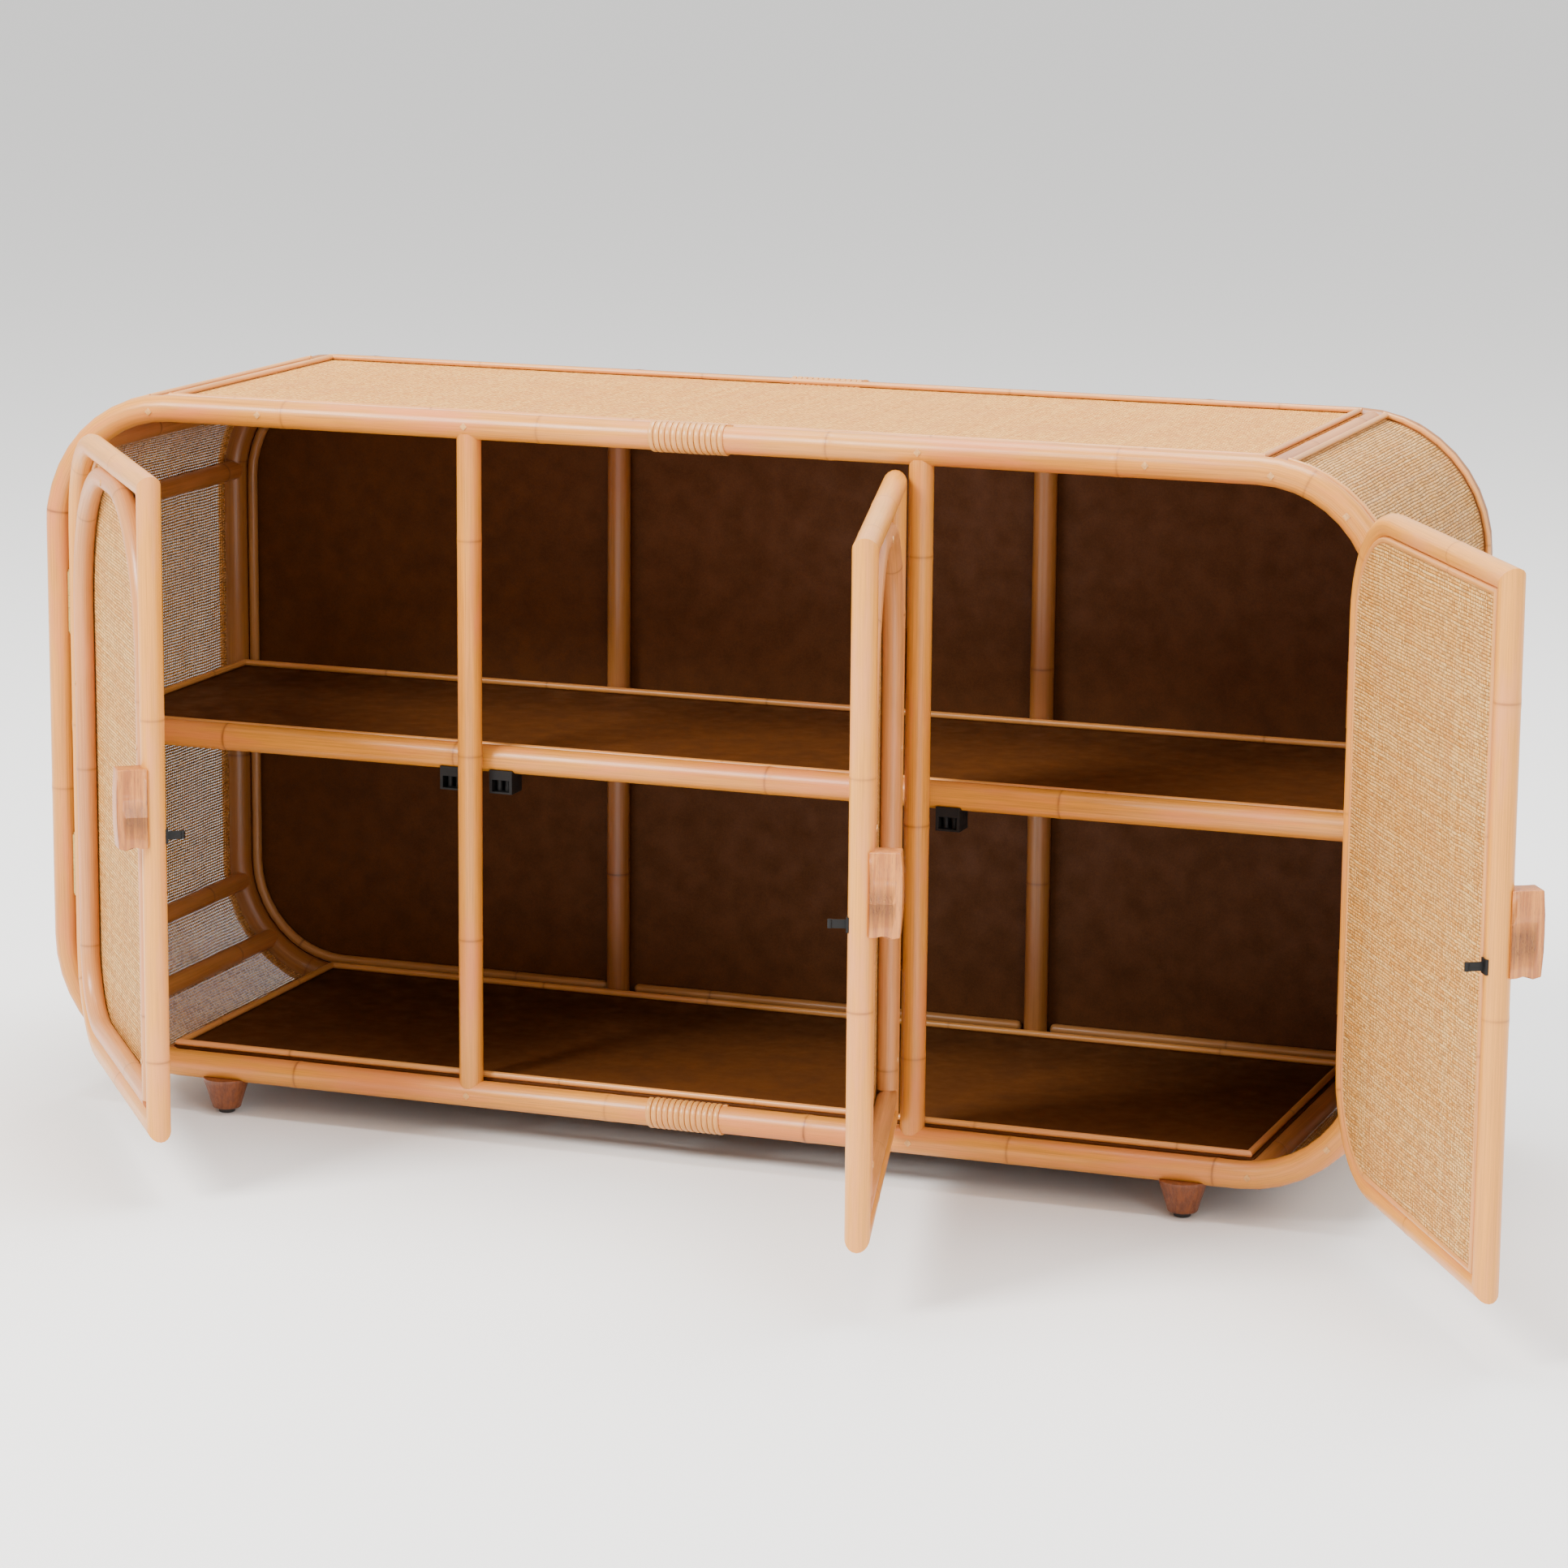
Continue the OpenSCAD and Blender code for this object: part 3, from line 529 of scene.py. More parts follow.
class Track:
    """A flat run of straight and bent lengths, walked from a start point. Angles in degrees."""

    def __init__(self, x, y, heading):
        self.start = Vector((x, y))
        self.heading = math.radians(heading)
        self.legs = []

    def line(self, length):
        self.legs.append((length, 0.0))
        return self

    def bend(self, radius, angle):
        a = math.radians(angle)
        self.legs.append((abs(a) * radius, (1 if a > 0 else -1) / radius))
        return self

    @property
    def length(self):
        return sum(leg[0] for leg in self.legs)

    def at(self, s):
        """The point and the heading a length s along the track; both ends run on past their limits."""
        p, h = self.start.copy(), self.heading
        for i, (length, k) in enumerate(self.legs):
            here = s < length or i == len(self.legs) - 1
            d = s if here else length
            if k:
                c = p + Vector((-math.sin(h), math.cos(h))) / k
                h += d * k
                p = c - Vector((-math.sin(h), math.cos(h))) / k
            else:
                p = p + Vector((math.cos(h), math.sin(h))) * d
            if here:
                break
            s -= length
        return p, h

    def stations(self, step=60.0, bend_step=9.0):
        """Lengths at which the pole needs a ring of points."""
        out, s = [0.0], 0.0
        for length, k in self.legs:
            n = max(1, round(length / (min(step, abs(math.radians(bend_step) / k)) if k else step)))
            out += [s + length * (i + 1) / n for i in range(n)]
            s += length
        return out


def joints_along(length, seed, gap=None):
    """Where a pole shows its growth rings."""
    gap = gap or bpy.context.scene.cabinet_detail.joint_gap / MM
    rnd = random.Random(seed)
    out, s = [], rnd.uniform(0.25, 0.9) * gap
    while s < length - 15:
        out.append((s, rnd.uniform(0.6, 1.0)))
        s += gap * rnd.uniform(0.72, 1.35)
    return out


def plane_front(y, side=1):
    """Places a track drawn in (x, z about the ring's middle) in a plane that faces the front."""
    return Matrix(((side, 0, 0, 0), (0, 0, -1, y), (0, 1, 0, ZC), (0, 0, 0, 1)))


def plane_flat(z):
    """Places a track drawn in (x, y) in a level plane."""
    return Matrix.Translation((0, 0, z))


def grow_pole(bm, track, place, radius, sides=None, seed=1, rings=True, cut_start=None, cut_end=None, round_ends=0.0, over=0.0, swell=1.0):
    """Grows a pole along a track: a circle extruded ring by ring, thicker at its growth rings.

    cut_start and cut_end are plane normals (in the track's plane) that mitre an end."""
    sides = sides or bpy.context.scene.cabinet_detail.sides
    grain = bm.verts.layers.float_vector.get("grain") or bm.verts.layers.float_vector.new("grain")
    ringl = bm.verts.layers.float.get("ring") or bm.verts.layers.float.new("ring")
    rnd = random.Random(seed * 7 + 3)
    length = track.length
    marks = joints_along(length, seed) if rings else []
    stops = set(track.stations())
    near = 2.5 * radius
    if cut_start or cut_end:
        stops |= {near, length - near}
    for s0, _ in marks:
        for d in (-9, -4, -1.6, -0.7, 0, 0.7, 1.6, 4, 9):
            if 0.5 < s0 + d < length - 0.5:
                stops.add(s0 + d)
    stops = sorted(stops)
    kept = [stops[0]]
    for s in stops[1:]:
        if s - kept[-1] > 0.35:
            kept.append(s)
    kept[-1] = length
    if over:
        kept = [-over] + kept + [length + over]
    ends = {}
    if round_ends:
        r = round_ends
        kept = [-r * k for k in (1.0, 0.92, 0.7, 0.38)] + kept + [length + r * k for k in (0.38, 0.7, 0.92, 1.0)]
        for k, f in ((1.0, 0.08), (0.92, 0.39), (0.7, 0.71), (0.38, 0.925)):
            ends[-r * k] = f
            ends[length + r * k] = f
    wob = [rnd.uniform(-1, 1) for _ in range(8)]
    shift = rnd.uniform(0, 40)

    def ring_matrix(s):
        p, h = track.at(s)
        mark, fat = 0.0, 0.0
        for s0, amount in marks:
            d = abs(s - s0)
            fat = max(fat, amount * math.exp(-((d / 4.2) ** 2)) * 0.035 * swell)
            mark = max(mark, amount * math.exp(-((d / 1.3) ** 2)))
            if 0.5 < d < 1.4:
                fat -= 0.012 * amount * swell
        wave = 1 + 0.008 * wob[int(s / 170) % 8] * swell
        r = radius * (wave + fat) * ends.get(s, 1.0)
        t = Vector((math.cos(h), math.sin(h), 0))
        n = Vector((-math.sin(h), math.cos(h), 0))
        b = Vector((0, 0, 1))
        m = Matrix(((n.x * r, b.x * r, t.x, p.x), (n.y * r, b.y * r, t.y, p.y), (n.z * r, b.z * r, t.z, 0), (0, 0, 0, 1)))
        return place @ m, mark

    m0, mark = ring_matrix(kept[0])
    made = bmesh.ops.create_circle(bm, cap_ends=True, segments=sides, radius=1.0, matrix=m0)
    loop = made["verts"]
    edges = list({e for v in loop for e in v.link_edges})
    rows = [(kept[0], loop)]

    def stamp(verts, m, s, mark):
        inv = m.inverted()
        for v in verts:
            q = inv @ v.co
            v[grain] = Vector((q.x * radius * MM, q.y * radius * MM, s * MM + shift))
            v[ringl] = mark

    stamp(loop, m0, kept[0], mark)
    for s in kept[1:]:
        m1, mark = ring_matrix(s)
        ext = bmesh.ops.extrude_edge_only(bm, edges=edges)["geom"]
        loop = [g for g in ext if isinstance(g, bmesh.types.BMVert)]
        edges = [g for g in ext if isinstance(g, bmesh.types.BMEdge) and g.verts[0] in loop and g.verts[1] in loop]
        bmesh.ops.transform(bm, matrix=m1 @ m0.inverted(), verts=loop)
        stamp(loop, m1, s, mark)
        rows.append((s, loop))
        m0 = m1
    bmesh.ops.contextual_create(bm, geom=edges)
    for s, normal in ((0.0, cut_start), (length, cut_end)):
        if normal is None:
            continue
        verts = {v for at, loop in rows for v in loop if abs(at - s) < near + 0.01}
        geom = list(verts)
        geom += {e for v in verts for e in v.link_edges if e.other_vert(v) in verts}
        geom += {f for v in verts for f in v.link_faces if all(w in verts for w in f.verts)}
        p, _ = track.at(s)
        co = place @ Vector((p.x, p.y, 0))
        no = place.to_3x3() @ Vector((normal[0], normal[1], 0))
        cut = bmesh.ops.bisect_plane(bm, geom=geom, plane_co=co, plane_no=no, clear_outer=True)
        rim = [g for g in cut["geom_cut"] if isinstance(g, bmesh.types.BMEdge)]
        bmesh.ops.holes_fill(bm, edges=rim, sides=0)
    return bm


def straight(x0, y0, x1, y1):
    a = math.degrees(math.atan2(y1 - y0, x1 - x0))
    return Track(x0, y0, a).line(math.hypot(x1 - x0, y1 - y0))


def depth_pole(bm, x, z, y0, y1, radius, **kw):
    """A pole that runs from front to back."""
    place = Matrix(((0, 1, 0, x), (1, 0, 0, 0), (0, 0, -1, z), (0, 0, 0, 1)))
    return grow_pole(bm, straight(y0, 0, y1, 0), place, radius, **kw)


def door_place(door):
    """From a door's own space (closed, lying to the left of its pivot) to the open door."""
    d = DOORS[door]
    return (
        Matrix.Translation((d["pivot"][0], d["pivot"][1], ZC))
        @ Matrix.Rotation(math.radians(d["turn"]), 4, "Z")
        @ Matrix.Scale(d["flip"], 4, (1, 0, 0))
    )


def door_plane(door, y):
    """Places a track drawn in the door's (x, z) at depth y in its own space."""
    return door_place(door) @ Matrix(((1, 0, 0, 0), (0, 0, -1, y), (0, 1, 0, 0), (0, 0, 0, 1)))


def move_to(bm, matrix):
    bmesh.ops.transform(bm, matrix=matrix, verts=bm.verts)


def add_block(bm, lo, hi, edge=0.0, segments=2):
    """A block with its edges eased."""
    size = [hi[i] - lo[i] for i in range(3)]
    mid = [(hi[i] + lo[i]) / 2 for i in range(3)]
    made = bmesh.ops.create_cube(bm, size=1.0)["verts"]
    bmesh.ops.scale(bm, vec=size, verts=made)
    bmesh.ops.translate(bm, vec=mid, verts=made)
    if edge:
        edges = list({e for v in made for e in v.link_edges})
        bmesh.ops.bevel(bm, geom=edges, offset=edge, segments=segments, profile=0.5, affect="EDGES", material=-1, clamp_overlap=True)


def turned(bm, profile, steps=32):
    """Spins a profile of (radius, height) points about the vertical axis, on a new piece of mesh."""
    verts = [bm.verts.new((r, 0, z)) for r, z in profile]
    edges = [bm.edges.new((a, b)) for a, b in zip(verts, verts[1:])]
    bmesh.ops.spin(bm, geom=verts + edges, cent=(0, 0, 0), axis=(0, 0, 1), angle=math.tau, steps=steps, use_merge=True)
    bmesh.ops.remove_doubles(bm, verts=bm.verts, dist=0.0005)


def grain_by(bm, matrix=Matrix.Identity(4), shift=0.0):
    """Stores each point's own place, in metres, as the direction of the grain (z along it)."""
    grain = bm.verts.layers.float_vector.get("grain") or bm.verts.layers.float_vector.new("grain")
    for v in bm.verts:
        v[grain] = (matrix @ v.co) * MM + Vector((shift, 0, 0))


# ---- frame operators ------------------------------------------------------------


def ring_track():
    return Track(0, HH, 0).line(SX).bend(RC, -90).line(2 * SZ).bend(RC, -90).line(SX)


class CABINET_OT_rings(bpy.types.Operator):
    """Bend the front and back rings, two poles each"""

    bl_idname = "cane_cabinet.rings"
    bl_label = "Rings"

    def execute(self, context):
        for name, y, skin, seed in (("front", YF, "frame_pole", 11), ("back", YB, "back_pole", 21)):
            for side, word in ((-1, "left"), (1, "right")):
                bm = bmesh.new()
                grow_pole(bm, ring_track(), plane_front(y, side), PR, sides=24, seed=seed + side)
                publish(f"{name}_pole_{word}", bm, skin, "cabinet", [f"{name}_ring_{word}"])
        return {"FINISHED"}


class CABINET_OT_bindings(bpy.types.Operator):
    """Wind flat cane round the joints of the rings"""

    bl_idname = "cane_cabinet.bindings"
    bl_label = "Bindings"

    def execute(self, context):
        bm = bmesh.new()
        turns, pitch, steps = 13, 6.15, 22
        profile = [(-2.75, 0.1), (-2.55, 1.25), (-1.3, 1.85), (1.3, 1.85), (2.55, 1.25), (2.75, 0.1)]
        for y in (YF, YB):
            for z in (ZC + HH, ZC - HH):
                one = bmesh.new()
                grain = one.verts.layers.float_vector.new("grain")
                one.verts.layers.float.new("ring")
                verts = [one.verts.new((x, 0, PR + h)) for x, h in profile]
                edges = [one.edges.new((a, b)) for a, b in zip(verts, verts[1:] + verts[:1])]
                bmesh.ops.spin(
                    one,
                    geom=verts + edges,
                    cent=(0, 0, 0),
                    axis=(1, 0, 0),
                    dvec=(pitch / steps, 0, 0),
                    angle=math.tau * turns,
                    steps=steps * turns,
                )
                bmesh.ops.holes_fill(one, edges=[e for e in one.edges if e.is_boundary], sides=8)
                for v in one.verts:
                    turn = math.atan2(v.co.y, v.co.z) * PR
                    v[grain] = Vector((v.co.x * 0.9, math.hypot(v.co.y, v.co.z), turn + v.co.x * 110)) * MM
                bmesh.ops.translate(one, vec=(-turns * pitch / 2, y, z), verts=one.verts)
                join(bm, one)
        publish("wound_bindings", bm, "binding_cane", "cabinet", ["ring_bindings"])
        return {"FINISHED"}


class CABINET_OT_uprights(bpy.types.Operator):
    """Stand the front and back uprights between the rings"""

    bl_idname = "cane_cabinet.uprights"
    bl_label = "Uprights"

    def execute(self, context):
        reach = HH - 7.5
        for side, word in ((-1, "left"), (1, "right")):
            bm = bmesh.new()
            grow_pole(bm, straight(side * UPX, -reach, side * UPX, reach), plane_front(YF), UR, seed=31 + side)
            publish(f"front_upright_{word}", bm, "frame_pole", "cabinet", [f"upright_front_{word}"])
        bm = bmesh.new()
        for side in (-1, 1):
            x = side * (UPX + 1.5)
            grow_pole(bm, straight(x, -reach, x, reach), plane_front(YB), UR, seed=41 + side)
        publish("back_uprights", bm, "back_pole", "cabinet", ["uprights_back"])
        return {"FINISHED"}


class CABINET_OT_shelf_poles(bpy.types.Operator):
    """Fit the long shelf rail, the side bearers and the rear rail"""

    bl_idname = "cane_cabinet.shelf_poles"
    bl_label = "Shelf poles"

    def execute(self, context):
        bm = bmesh.new()
        reach = BEARER_X - 6
        track = straight(-reach, RAIL_Z - ZC, reach, RAIL_Z - ZC)
        grow_pole(bm, track, plane_front(RAIL_Y), PR, sides=24, seed=53)
        publish("shelf_front_rail", bm, "frame_pole", "cabinet", ["shelf_rail_front"])
        bm = bmesh.new()
        for side in (-1, 1):
            depth_pole(bm, side * BEARER_X, ZC - 3, YF + 9, YB - 9, BEARER_R, sides=16, seed=61 + side)
        z = SHELF_TOP - 4 - BEARER_R - ZC
        grow_pole(bm, straight(-reach, z, reach, z), plane_front(YB - 28), BEARER_R, sides=16, seed=66)
        publish("shelf_bearer_poles", bm, "back_pole", "cabinet", ["shelf_bearers"])
        return {"FINISHED"}


class CABINET_OT_cross_poles(bpy.types.Operator):
    """Run the cross poles and the support rails from ring to ring"""

    bl_idname = "cane_cabinet.cross_poles"
    bl_label = "Cross poles"

    def execute(self, context):
        q = RC - 3.4
        spots = [(SX + 14, ZC + v * (HH - 1), 12.0) for v in (-1, 1)]
        for v, a in ((1, 45), (-1, 45), (1, 3.3), (-1, 11.2)):
            t = math.radians(a)
            spots.append((SX + q * math.cos(t), ZC + v * (SZ + q * math.sin(t)), 10.5))
        for side, word in ((-1, "left"), (1, "right")):
            bm = bmesh.new()
            for i, (x, z, r) in enumerate(spots):
                depth_pole(bm, side * x, z, YF + 7, YB - 7, r, seed=71 + i * 3 + side)
            publish(f"cross_poles_{word}_end", bm, "cross_pole", "cabinet", [f"cross_poles_{word}"])
        bm = bmesh.new()
        for side in (-1, 1):
            depth_pole(bm, side * 470, ZC + HH - 3.6, YF + 9, YB - 9, 10.0, sides=16, seed=91 + side)
            depth_pole(bm, side * 470, ZC - HH, YF + 9, YB - 9, 10.0, sides=16, seed=95 + side)
        publish("panel_support_rails", bm, "cross_pole", "cabinet", ["support_rails"])
        return {"FINISHED"}


# ---- webbing ----------------------------------------------------------------------


def lay_sheet(bm, points, y0, y1):
    """One sheet of webbing between two depths, following points in (x, z)."""
    lay = bm.verts.layers.float_vector.get("lay") or bm.verts.layers.float_vector.new("lay")
    verts = [bm.verts.new((x, y0, z)) for x, z in points]
    edges = [bm.edges.new((a, b)) for a, b in zip(verts, verts[1:])]
    run = [0.0]
    for a, b in zip(points, points[1:]):
        run.append(run[-1] + math.hypot(b[0] - a[0], b[1] - a[1]))
    for v, s in zip(verts, run):
        v[lay] = Vector((s, y0, 0)) * MM
    ext = bmesh.ops.extrude_edge_only(bm, edges=edges)["geom"]
    moved = [g for g in ext if isinstance(g, bmesh.types.BMVert)]
    bmesh.ops.translate(bm, vec=(0, y1 - y0, 0), verts=moved)
    for v in moved:
        v[lay] = v[lay] + Vector((0, (y1 - y0) * MM, 0))
    return verts + moved


def thicken(bm, amount):
    """Gives sheets their thickness, keeping the lie of the weave."""
    faces = list(bm.faces)
    bmesh.ops.recalc_face_normals(bm, faces=faces)
    bmesh.ops.solidify(bm, geom=faces, thickness=amount)


def end_run(radius_in, edge=79.2, steps=14):
    """The run of the webbing round one end, as points in (x, z)."""
    r = RC + radius_in
    pts = []
    for c, a0, a1 in ((1, edge, 0.0), (-1, 0.0, -edge)):
        for i in range(steps + 1):
            a = math.radians(a0 + (a1 - a0) * i / steps)
            pts.append((SX + r * math.cos(a), ZC + c * SZ + r * math.sin(a)))
    return pts


class CABINET_OT_webbing(bpy.types.Operator):
    """Stretch the cane webbing over the top and the rounded ends"""

    bl_idname = "cane_cabinet.webbing"
    bl_label = "Webbing"

    def execute(self, context):
        bm = bmesh.new()
        lay_sheet(bm, [(-(SX + 4), ZC + HH + WEB_IN), (SX + 4, ZC + HH + WEB_IN)], YF + 12, YB - 12)
        thicken(bm, 1.2)
        publish("top_webbing", bm, "top_webbing", "cabinet", ["top_panel"], smooth=False)
        for side, word in ((-1, "left"), (1, "right")):
            bm = bmesh.new()
            lay_sheet(bm, [(side * x, z) for x, z in end_run(WEB_IN)], YF + 12, YB - 12)
            thicken(bm, 1.2)
            publish(f"end_webbing_{word}", bm, "end_webbing", "cabinet", [f"side_panel_{word}"])
        return {"FINISHED"}


class CABINET_OT_webbing_beads(bpy.types.Operator):
    """Pin cane beads over the edges of the webbing"""

    bl_idname = "cane_cabinet.webbing_beads"
    bl_label = "Webbing beads"

    def execute(self, context):
        bm = bmesh.new()
        z = ZC + HH + 12.0
        for y in (YF + 11.5, YB - 11.5):
            grow_pole(bm, straight(-(SX + 4), y, SX + 4, y), plane_flat(z), 2.9, sides=10, seed=int(y) + 500, swell=0.5)
        for side in (-1, 1):
            depth_pole(bm, side * (SX + 1.2), z, YF + 14.5, YB - 14.5, 2.9, sides=10, seed=120 + side, rings=False)
        publish("top_webbing_beads", bm, "bead_cane", "cabinet", ["top_beads"])
        for side, word in ((-1, "left"), (1, "right")):
            bm = bmesh.new()
            r = RC + 12.0
            edge = 79.2
            a = math.radians(edge)
            for k, y in enumerate((YF + 11.5, YB - 11.5)):
                t = Track(SX + r * math.cos(a), SZ + r * math.sin(a), edge - 90)
                t.bend(r, -edge).line(2 * SZ).bend(r, -edge)
                grow_pole(bm, t, plane_front(y, side), 2.9, sides=10, seed=150 + k, swell=0.5)
            a = math.radians(77.8)
            for v in (-1, 1):
                z = ZC + v * (SZ + r * math.sin(a))
                depth_pole(bm, side * (SX + r * math.cos(a)), z, YF + 14.5, YB - 14.5, 2.9, sides=10, seed=162 + v, rings=False)
            publish(f"end_webbing_beads_{word}", bm, "bead_cane", "cabinet", [f"side_beads_{word}"])
        return {"FINISHED"}


# ---- boards -------------------------------------------------------------------------


def bead_frame(bm, x, y0, y1, z, r, seed):
    """Four beads round a board, mitred at the corners."""
    place = plane_flat(z)
    n = math.sqrt(0.5)
    corners = [(-x, y0), (x, y0), (x, y1), (-x, y1)]
    for i in range(4):
        a, b = Vector(corners[i]), Vector(corners[(i + 1) % 4])
        d = (b - a).normalized()
        m = Vector((-d.y, d.x))
        grow_pole(
            bm,
            straight(a.x, a.y, b.x, b.y),
            place,
            r,
            sides=12,
            seed=seed + i,
            over=r,
            swell=0.5,
            cut_start=tuple((m - d) * n),
            cut_end=tuple((m + d) * n),
        )


class CABINET_OT_boards(bpy.types.Operator):
    """Lay the shelf, the base board and the back board, with their beads"""

    bl_idname = "cane_cabinet.boards"
    bl_label = "Boards"

    def execute(self, context):
        y0, y1, x = RAIL_Y + PR + 0.1, YB - 17, HW - 16
        bm = bmesh.new()
        add_block(bm, (-x, y0, SHELF_TOP - 4), (x, y1, SHELF_TOP), 0.5)
        publish("shelf", bm, "brown_board", "cabinet", ["shelf_board"])
        bm = bmesh.new()
        bead_frame(bm, x - 4, y0 + 4, y1 - 4, SHELF_TOP + 3.4, 3.6, 200)
        publish("shelf_edge_beads", bm, "bead_cane", "cabinet", ["shelf_beads"])
        by = -YF - UR - 0.2
        bm = bmesh.new()
        add_block(bm, (-SX - 12, -by, BASE_TOP - 4), (SX + 12, by, BASE_TOP), 0.5)
        publish("base", bm, "brown_board", "cabinet", ["bottom_board"])
        bm = bmesh.new()
        bead_frame(bm, SX + 6, -by + 2.5, by - 2.5, BASE_TOP + 3.4, 3.6, 210)
        publish("base_edge_beads", bm, "bead_cane", "cabinet", ["bottom_beads"])
        bm = bmesh.new()
        w, h, r = HW - 8, HH - 8, RC - 8
        y = YB + PR - 0.8
        points = []
        for cx, cz, a in ((1, 1, 0), (-1, 1, 90), (-1, -1, 180), (1, -1, 270)):
            for i in range(13):
                t = math.radians(a + 90 * i / 12)
                points.append((cx * (w - r) + r * math.cos(t), y, ZC + cz * (h - r) + r * math.sin(t)))
        face = bm.faces.new([bm.verts.new(p) for p in points])
        ext = bmesh.ops.extrude_face_region(bm, geom=[face])["geom"]
        bmesh.ops.translate(bm, vec=(0, 3.5, 0), verts=[g for g in ext if isinstance(g, bmesh.types.BMVert)])
        publish("back", bm, "brown_board", "cabinet", ["back_board"])
        return {"FINISHED"}


class CABINET_OT_back_strips(bpy.types.Operator):
    """Bend the thin strips that close the gap before the back board"""

    bl_idname = "cane_cabinet.back_strips"
    bl_label = "Back strips"

    def execute(self, context):
        bm = bmesh.new()
        off, r, y = 19.4, 5.5, YB + 6.2
        x0 = UPX + UR + 9
        for side in (-1, 1):
            t = Track(x0, HH - off, 0).line(SX - x0).bend(RC - off, -90).line(2 * SZ).bend(RC - off, -90).line(SX - x0)
            grow_pole(bm, t, plane_front(y, side), r, sides=14, seed=230 + side, round_ends=r, swell=0.7)
        xm = UPX - UR - 9
        for v in (-1, 1):
            grow_pole(bm, straight(-xm, v * (HH - off), xm, v * (HH - off)), plane_front(y), r, sides=14, seed=240 + v, round_ends=r, swell=0.7)
        publish("rear_strips", bm, "strip_pole", "cabinet", ["back_strips"])
        return {"FINISHED"}


# ---- feet and fittings --------------------------------------------------------------


class CABINET_OT_feet(bpy.types.Operator):
    """Turn the four feet and their glides"""

    bl_idname = "cane_cabinet.feet"
    bl_label = "Feet"

    def execute(self, context):
        foot = [(0.0, 5.0), (12.4, 5.0), (14.3, 5.5), (15.2, 6.6), (15.6, 8.5), (18.2, 17.0), (21.0, 26.0), (23.0, 32.0), (24.4, 36.0), (24.0, 37.6), (22.4, 38.2), (0.0, 38.2)]
        glide = [(0.0, 0.0), (7.4, 0.0), (8.2, 0.4), (8.6, 1.2), (8.6, 5.0), (0.0, 5.0)]
        for name, profile, skin, slot, node in (
            ("turned_feet", foot, "foot_wood", "foot_wood", "feet"),
            ("glides", glide, "glide_plastic", "glide", "foot_glides"),
        ):
            bm = bmesh.new()
            for i, (x, y) in enumerate(((-522, YF), (522, YF), (-522, YB), (522, YB))):
                one = bmesh.new()
                turned(one, profile, 32)
                grain_by(one, shift=0.3 * i)
                bmesh.ops.translate(one, vec=(x, y, 0), verts=one.verts)
                join(bm, one)
            publish(name, bm, skin, "cabinet", [node])
        return {"FINISHED"}


def add_peg(bm, matrix, r=2.9):
    """The eased square end of a peg, standing a little proud."""
    one = bmesh.new()
    add_block(one, (-r, -r, -2.5), (r, r, 0.6), 0.5)
    grain_by(one, shift=len(bm.verts) * 0.01)
    bmesh.ops.rotate(one, cent=(0, 0, 0), matrix=Matrix.Rotation(math.radians(45), 3, "Z"), verts=one.verts)
    bmesh.ops.transform(one, matrix=matrix, verts=one.verts)
    join(bm, one)


class CABINET_OT_pegs(bpy.types.Operator):
    """Drive the pegs that show on the face of the front ring"""

    bl_idname = "cane_cabinet.pegs"
    bl_label = "Pegs"

    def execute(self, context):
        bm = bmesh.new()
        c45 = RC * math.cos(math.radians(45))
        spots = [(470, HH), (594, HH - 3), (SX + c45, SZ + c45), (SX + c45, -SZ - c45), (590, -HH + 1), (UPX, HH), (UPX, -HH)]
        face = Matrix(((1, 0, 0, 0), (0, 0, -1, YF - PR), (0, 1, 0, 0), (0, 0, 0, 1)))
        for x, z in spots:
            for side in (-1, 1):
                add_peg(bm, Matrix.Translation((side * x, 0, ZC + z)) @ face)
        publish("ring_pegs", bm, "peg_wood", "cabinet", ["pole_pegs"])
        return {"FINISHED"}


class CABINET_OT_fittings(bpy.types.Operator):
    """Finish the roller catches and the hinges, and drive the hinge screws"""

    bl_idname = "cane_cabinet.fittings"
    bl_label = "Catches and hinges"

    def execute(self, context):
        cad_finish("catch_housings", "black_plastic")
        for door in DOORS:
            for k in ("a", "b"):
                cad_finish(f"roller_{door}_{k}", "black_plastic")
            cad_finish(f"{door}_door_strike", "black_plastic")
            cad_finish(f"{door}_door_leaves", "hinge_brass")
        cad_finish("frame_hinge_leaves", "hinge_brass")
        fixed = bmesh.new()
        for door, d in DOORS.items():
            bm = bmesh.new()
            for v in (-1, 1):
                for k in (-22, 0, 22):
                    for target, x in ((bm, -0.4), (fixed, 0.4)):
                        made = bmesh.ops.create_uvsphere(target, u_segments=12, v_segments=6, radius=2.6)["verts"]
                        bmesh.ops.scale(target, vec=(0.13, 1, 1), verts=made)
                        bmesh.ops.translate(target, vec=(x, 12.5, v * HINGE_Z + k), verts=made)
                        if target is bm:
                            bmesh.ops.transform(target, matrix=door_place(door), verts=made)
                        else:
                            bmesh.ops.scale(target, vec=(d["flip"], 1, 1), verts=made)
                            bmesh.ops.translate(target, vec=(d["pivot"][0], d["pivot"][1], ZC), verts=made)
            publish(f"{door}_door_screws", bm, "screw_steel", f"door_{door}")
        publish("frame_hinge_screws", fixed, "screw_steel", "cabinet")
        return {"FINISHED"}


# ---- doors ----------------------------------------------------------------------------


def door_edges(door):
    d = DOORS[door]
    return -1.5 - d["w"] + DR, -1.5 - DR, d["kind"]


N45 = math.sqrt(0.5)


